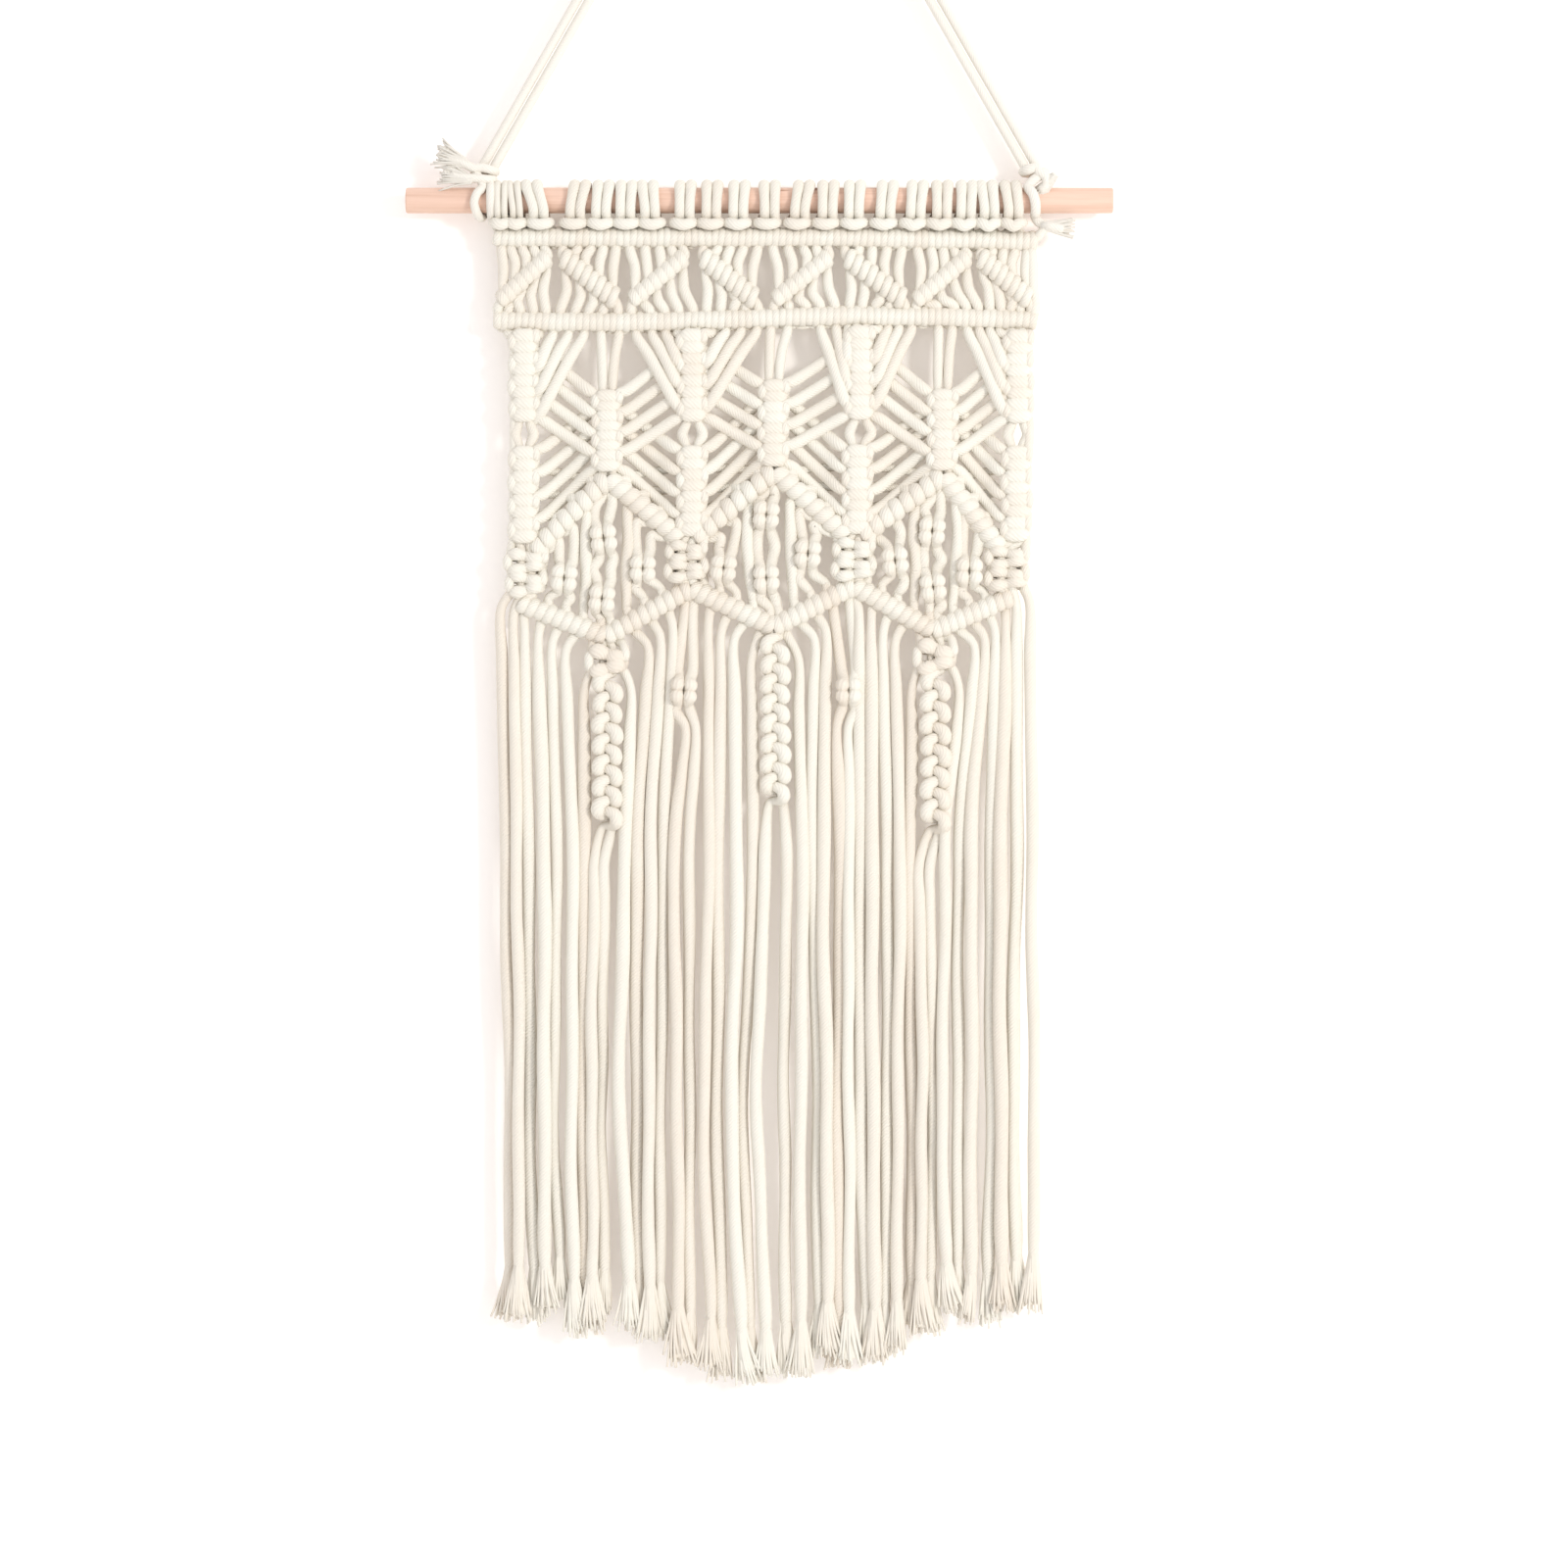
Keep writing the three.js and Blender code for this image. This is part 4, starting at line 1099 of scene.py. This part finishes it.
# The fringe hangs from the pointed row, with the spirals in its points.
fringe = {
    "edges": (-109.4, 114.46),    # where the outermost cords start, across
    "cornerInset": 2.2,
    "spiralClear": 11.6,
    "firstDrop": 7,
    "half": 2.8,
    "layer": 1.7,
    "stations": 14,
    "bare": 9.0,          # from the end of the cord's own body to its tip
    "sway": 0.35,
    # Rate and phase of the waves across, slow and quick, then front to back, and in the cord's width
    "waves": ((9.1, 0), (21, 1), (8, 2), (23, 1)),
    "underSpiral": (2.6, 3),    # how far a spiral's cords part below it, and from how far down
    "besideStart": (6, 12),     # where the cords beside a spiral start below its top, or below the row
    # Across, cord by cord, at three depths: under the spirals, halfway down and at the tips
    "upperDepth": 278.0,
    "upper": [
        -107.9, -102.8, -98.3, -91.5, -86.3, -79.0, -74.6, -70.0, -65.8, -57.2,
        -51.7, -46.3, -41.1, -36.5, -29.7, -21.2, -17.5, -9.8, -2.7, 2.1,
        11.7, 18.1, 22.3, 27.3, 34.7, 37.9, 42.8, 48.0, 54.0, 59.4,
        63.8, 67.6, 72.2, 78.5, 84.5, 89.4, 98.5, 102.2, 109.0, 115.7,
    ],
    "middleDepth": 386.0,
    "middle": [
        -105.5, -102.0, -97.3, -90.8, -87.2, -79.8, -74.8, -71.2, -67.6, -59.2,
        -52.2, -46.7, -41.7, -34.6, -30.0, -24.0, -18.3, -11.6, -7.3, -1.0,
        10.2, 17.7, 24.8, 28.3, 32.8, 37.9, 42.6, 47.9, 54.4, 59.0,
        64.5, 69.2, 73.4, 77.6, 84.4, 90.0, 98.2, 102.1, 107.6, 116.2,
    ],
    "tips": [
        -106.6, -101.6, -95.6, -90.8, -84.8, -78.2, -74.2, -70.4, -65.2, -55.0,
        -51.6, -46.6, -42.6, -34.4, -29.4, -20.2, -15.4, -7.6, -3.4, 2.6,
        11.2, 17.3, 25.2, 29.0, 34.4, 38.0, 45.6, 49.2, 53.2, 58.0,
        65.0, 68.4, 71.8, 79.0, 83.4, 89.7, 97.0, 102.6, 108.4, 115.6,
    ],
    "tipDepths": [
        476, 476, 475, 472, 471, 480, 480, 478, 474, 478,
        479, 483, 483, 492, 494, 498, 500, 500, 501, 500,
        498, 498, 492, 490, 494, 493, 491, 491, 491, 489,
        480, 479, 479, 473, 474, 477, 476, 470, 470, 470,
    ],
    # Cords that are warmer in colour than the others
    "tones": {0: 0.6, 6: 0.65, 13: 0.6, 15: 0.55, 24: 0.7, 30: 0.65, 37: 0.6},
}
frayLook = {
    "yarns": 28, "yarnHalf": 0.8, "root": 17.0, "length": 26.0,
    "startRadius": 1.2, "spread": 7.0, "lean": 2.4, "curl": 1.0,
}


# The body inside a brush: share of its length, width over the brush's spread, and half thickness
frayBody = [(0.0, 0.2, 1.3), (0.3, 0.36, 1.5), (0.6, 0.52, 1.1), (0.86, 0.6, 0.5)]
yarnDetail = {"count": 5, "ringStep": 3.5, "ringTurn": 45}


def eased(value, places, levels):
    for low, high, start, end in zip(places, places[1:], levels, levels[1:]):
        if value <= high:
            share = max(0.0, value - low) / (high - low)
            return start + (end - start) * (1 - math.cos(math.pi * share)) / 2
    return levels[-1]


# The hanging part of a cord. Neighbours lie before and behind each other, so that they can come close.
def hangingStations(index, startX, startDepth):
    endDepth = fringe["tipDepths"][index] - fringe["bare"]
    depths = [startDepth, max(startDepth + 4, fringe["upperDepth"]), fringe["middleDepth"], endDepth]
    levels = [startX, fringe["upper"][index], fringe["middle"][index], fringe["tips"][index]]
    phases = [random.uniform(0, 6.28) for _ in range(3)]
    wide = fringe["half"] * random.uniform(0.9, 1.08)
    layerY = fringe["layer"] * (-1) ** index + random.uniform(-0.5, 0.5)
    stations = []
    for step in range(1, fringe["stations"] + 1):
        share = step / fringe["stations"]
        depth = startDepth + (endDepth - startDepth) * share
        grow = min(1.0, 2.2 * share)
        x = eased(depth, depths, levels)
        waves = [math.sin(rate * share + phases[phase]) for rate, phase in fringe["waves"]]
        slow, quick, deep, swell = waves
        x += fringe["sway"] * grow * (slow + quick)
        y = panelY + layerY * grow + 0.5 * deep
        half = wide * (1 + 0.05 * swell) * min(1.0, 0.88 + share)
        stations.append(at(x, y, depth, half, 0.92 * half))
    return stations


# A cord's cut end, opened like a brush: its body spreads flat under loose yarns, which reach past its end.
def fray(bundle, stations, tone, look):
    end = np.array(stations[-1][:3])
    before = np.array(stations[-2][:3])
    along = (end - before) / np.linalg.norm(end - before)
    side = np.cross(along, [0, 1, 0])
    side /= np.linalg.norm(side)
    deep = np.cross(side, along)
    root = end - along * look["root"]
    length = look["length"] * random.uniform(0.92, 1.08)
    lean = random.uniform(-1, 1) * look["lean"]
    spread = look["spread"] * random.uniform(0.6, 1.15)
    start = look["startRadius"]
    for yarn in range(look["yarns"]):
        turn = 2 * math.pi * (yarn + random.uniform(-0.4, 0.4)) / look["yarns"]
        reach = random.uniform(0.4, 1.0)
        ownLength = length * random.uniform(0.82, 1.05)
        curl = random.uniform(-1, 1) * look["curl"]
        route = []
        for share in (0.0, 0.25, 0.5, 0.75, 1.0):
            radius = start + (spread * reach - start) * share ** 1.15
            across = math.cos(turn + 0.5 * share) * radius + (lean + curl * share) * share ** 2
            inward = math.sin(turn + 0.5 * share) * (start + 0.6 * share) + 0.4 * curl * share ** 2
            place = root + along * ownLength * share + side * across + deep * inward
            half = look["yarnHalf"] * (1 - 0.4 * share ** 2)
            route.append([*place, half, half, 0, 1, 0])
        addCord(bundle, route, tone + random.uniform(-0.1, 0.1), **yarnDetail)
    body = []
    for share, width, thin in frayBody:
        place = root + along * length * share + side * lean * share ** 2
        body.append([*place, max(1.3, width * spread), thin, *deep])
    addCord(bundle, body, tone, ringStep=3.0)


# The cord's own end thins out inside its brush.
def slimmed(station):
    return [*station[:3], 0.45 * station[3], 0.45 * station[4], *station[5:]]


def makeFringe():
    for index, tone in fringe["tones"].items():
        cordTone[fringeOrder[index]] = tone
    bundles = {name: newBundle() for name in ("fringeLeft", "fringeRight", *spirals["names"])}
    tips = newBundle()
    inSpiral = [index for index in range(panel["cords"]) if spiralPlace(index)[1] in (-1, 1)]
    hanging = [index for index in range(panel["cords"]) if index not in inSpiral]
    for index in hanging + inSpiral:
        cord = fringeOrder[index]
        route = routes[cord][netEnds[cord] - 1:]
        number, step = spiralPlace(index)
        if index in inSpiral:
            name = spirals["names"][number]
            x, top, bottom = spirals["places"][number]
            topX, topDepth = x + step * fringe["underSpiral"][0], bottom + fringe["underSpiral"][1]
            start = chainStations(x, top, bottom, step)
        else:
            name = "fringeLeft" if index < panel["cords"] // 2 else "fringeRight"
            topX, topDepth = fringeTop(index, rodHeight - route[-1][2])
            start = [at(topX, panelY, topDepth)]
        stations = hangingStations(index, topX, topDepth)
        body = [*route, *start, *stations[:-1], slimmed(stations[-1])]
        addCord(bundles[name], body, cordTone[cord])
        fray(tips, stations, cordTone[cord], frayLook)
    makePiece("fringeLeft", bundles["fringeLeft"], panelCotton, "cotton", "fringe")
    makePiece("fringeRight", bundles["fringeRight"], panelCotton, "cotton", "fringe")
    makePiece("fringeTips", tips, tipCotton, "cotton", "fringe")
    for name, node in zip(spirals["names"], spirals["nodes"]):
        makePiece(name, bundles[name], panelCotton, "cotton", node)


# The spiral that a fringe cord is grouped with, and the cord's place from it: its own two are -1 and 1.
def spiralPlace(index):
    number, place = divmod(index - 2, net["period"])
    return number, place - 5 if place > 5 else place - 6


# Where a cord starts to hang: beside a spiral, or under the pointed row.
def fringeTop(index, lastDepth):
    number, step = spiralPlace(index)
    if abs(step) == 2:
        x, top, _ = spirals["places"][number]
        gathered, free = fringe["besideStart"]
        depth = lastDepth + free if spirals["gatherTops"][number] is None else top + gathered
        return x + step / 2 * spirals["beside"], depth
    corners = [corner[0] for corner in joints["corners"]]
    inset, clear = fringe["cornerInset"], fringe["spiralClear"]
    if index < 2:
        left, right, share = fringe["edges"][0], corners[0] - inset, index
    elif number == len(spirals["places"]):
        left, right, share = corners[-1] + inset, fringe["edges"][1], index - panel["cords"] + 2
    else:
        x = spirals["places"][number][0]
        if step < 0:
            left, right, share = corners[number] + inset, x - clear, (step + 6) / 4
        else:
            left, right, share = x + clear, corners[number + 1] - inset, (step - 2) / 4
    return left + share * (right - left), lastDepth + fringe["firstDrop"]


# Two cords that take turns to loop over each other, so that round lumps lie in two columns.
def chainStations(x, top, bottom, side):
    count = round((bottom - top) / spirals["halfTurn"])
    step = (bottom - top) / count
    stretch = step / spirals["halfTurn"]
    stations = []
    for link in range(count):
        base = top + (link + (0.0 if side > 0 else 0.5)) * step
        swell = random.uniform(0.94, 1.05)
        for across, y, down, half in spirals["loop"]:
            stations.append(at(x + side * across * swell, y, base + down * stretch, half * swell))
    return stations


makeFringe()


# At each end a cord ties the feet of the hanger to the rod, and its ends are loose.
ties = {
    "ringOut": 1.85,      # from the rod's skin to the middle of the cord
    "footX": 116.4,
    "footDepth": -12.8,
    "left": {
        "half": 1.9,
        # Angle round the rod from its top, and how far out from the middle of the rod: twice round
        "ring": [
            (42, 117.2), (90, 120.9), (140, 119.8), (190, 118.0), (300, 115.0), (402, 113.8), (540, 113.6),
            (672, 115.4),
        ],
        "first": [(132.0, -4.4, -18.2), (128.0, -4.6, -16.6), (124.5, -4.8, -14.9), (121.0, -4.9, -13.2)],
        "second": [
            (115.2, 3.6, -9.2), (113.0, -1.4, -8.8), (115.4, -4.6, -8.5), (119.6, -5.4, -8.8),
            (123.5, -5.6, -9.0), (127.5, -5.2, -9.6), (130.4, -4.8, -10.6),
        ],
    },
    "right": {
        "half": 2.2,
        "ring": [(42, 113.9), (90, 116.6), (140, 117.0), (162, 117.0)],
        "first": [(119.0, -3.4, -3.6), (121.4, -4.6, -6.2), (121.2, -5.4, -9.6), (118.6, -5.2, -11.6)],
        # The end comes out below the rod and lies to the right
        "second": [(118.0, -2.4, 9.0), (121.0, -3.6, 10.8), (125.0, -4.4, 11.8), (128.6, -4.4, 12.4)],
    },
    "frayLook": {
        "yarns": 24, "yarnHalf": 0.65, "root": 9.5, "length": 15.0,
        "startRadius": 1.1, "spread": 6.4, "lean": 1.2, "curl": 0.8,
    },
}


def tieStations(side, own):
    footX, footDepth = ties["footX"], ties["footDepth"]
    half = own["half"]
    ring = rodRadius + ties["ringOut"]
    stations = [at(side * x, y, depth, half) for x, y, depth in own["first"]]
    wrap = [
        (1.2, -4.6, -0.6), (-2.4, -4.2, 0.2), (-4.4, -0.6, 0.6), (-2.6, 3.6, 0.6),
        (1.6, 3.9, 0.9), (4.4, 0.4, 1.0), (3.6, -3.6, 1.5),
    ]
    for across, y, down in wrap:
        stations.append(at(side * (footX + across), y, footDepth + down, half))
    degrees = [angle for angle, _ in own["ring"]]
    outs = [out for _, out in own["ring"]]
    for angle in range(degrees[0], degrees[-1] + 1, 30):
        turn = math.radians(angle)
        slant = float(np.interp(angle, degrees, outs))
        stations.append(at(side * slant, -ring * math.sin(turn), -ring * math.cos(turn), half, 1.8))
    return stations + [at(side * x, y, depth, half) for x, y, depth in own["second"]]


def makeTies():
    for name, side, node in (("tieLeft", -1, "tie_left"), ("tieRight", 1, "tie_right")):
        own = ties["left" if side < 0 else "right"]
        bundle = newBundle()
        stations = tieStations(side, own)
        addCord(bundle, stations, hanger["tone"])
        fray(bundle, stations, hanger["tone"], ties["frayLook"])
        fray(bundle, stations[::-1], hanger["tone"], ties["frayLook"])
        makePiece(name, bundle, hangerCotton, "hanger_cotton", node)


makeTies()

# A wall just behind the hanging, which glows faintly in a warm tint as painted bounce light in the shaded
# gaps, a floor far below it and one soft lamp.
stage = {
    "wallY": 11.5,
    "floorDepth": 1250.0,
    "reach": 2600.0,
    "floor": {"Base Color": (0.86, 0.86, 0.855, 1), "Roughness": 0.9},
    "wall": {
        "Base Color": (0.93, 0.905, 0.885, 1), "Roughness": 0.9,
        # The wall's warm glow is painted light: it lifts and browns the shade that the cords cast on it, in
        # place of light bounced off them
        "Emission Color": (0.55, 0.49, 0.43, 1), "Emission Strength": 0.33,
    },
    "sky": {"Color": (0.965, 0.965, 1.0, 1), "Strength": 1.0},
    # In metres, and watts
    "lamp": {
        "place": (1.55, -2.0, 0.05), "aim": (0, 0, -0.35), "size": 0.42, "power": 28,
        "colour": (1.0, 0.985, 0.955),
    },
}


# Lets the hanging be seen through the wall from behind.
def oneSided(tree, shader):
    clear = addNode(tree, "BsdfTransparent", "BSDF", {})
    behind = addNode(tree, "NewGeometry", "Backfacing", {})
    mix = addNode(tree, "MixShader", "Shader", {"Fac": behind, 1: shader.outputs["BSDF"], 2: clear})
    feed(tree, tree.nodes["Material Output"].inputs["Surface"], mix)


def addPlane(name, surface, place, turn=(0, 0, 0)):
    bpy.ops.mesh.primitive_plane_add(size=2 * stage["reach"] / metre, location=place, rotation=turn)
    plane = bpy.context.active_object
    plane.name = name
    material, tree, shader = newMaterial(name, surface)
    plane.data.materials.append(material)
    return plane, tree, shader


def makeStage():
    reach = stage["reach"] / metre
    floorZ = (rodHeight - stage["floorDepth"]) / metre
    wallY = stage["wallY"] / metre
    floor, _, _ = addPlane("stageFloor", stage["floor"], (0, wallY - reach, floorZ))
    upright = (math.pi / 2, 0, 0)
    wall, tree, shader = addPlane("stageWall", stage["wall"], (0, wallY, floorZ + reach), upright)
    oneSided(tree, shader)


def makeLights():
    world = bpy.data.worlds.new("studio")
    world.use_nodes = True
    for socket, value in stage["sky"].items():
        world.node_tree.nodes["Background"].inputs[socket].default_value = value
    bpy.context.scene.world = world
    lamp = stage["lamp"]
    data = bpy.data.lights.new("keyLight", "AREA")
    data.shape = "DISK"
    data.size = lamp["size"]
    data.energy = lamp["power"]
    data.color = lamp["colour"]
    light = bpy.data.objects.new("keyLight", data)
    bpy.context.scene.collection.objects.link(light)
    light.location = lamp["place"]
    light.rotation_mode = "QUATERNION"
    light.rotation_quaternion = (Vector(lamp["place"]) - Vector(lamp["aim"])).to_track_quat("Z", "Y")
    view = bpy.context.scene.view_settings
    view.view_transform = "Standard"
    view.look = "None"
    view.exposure = 0
    print("stage and lights set")


makeStage()
makeLights()
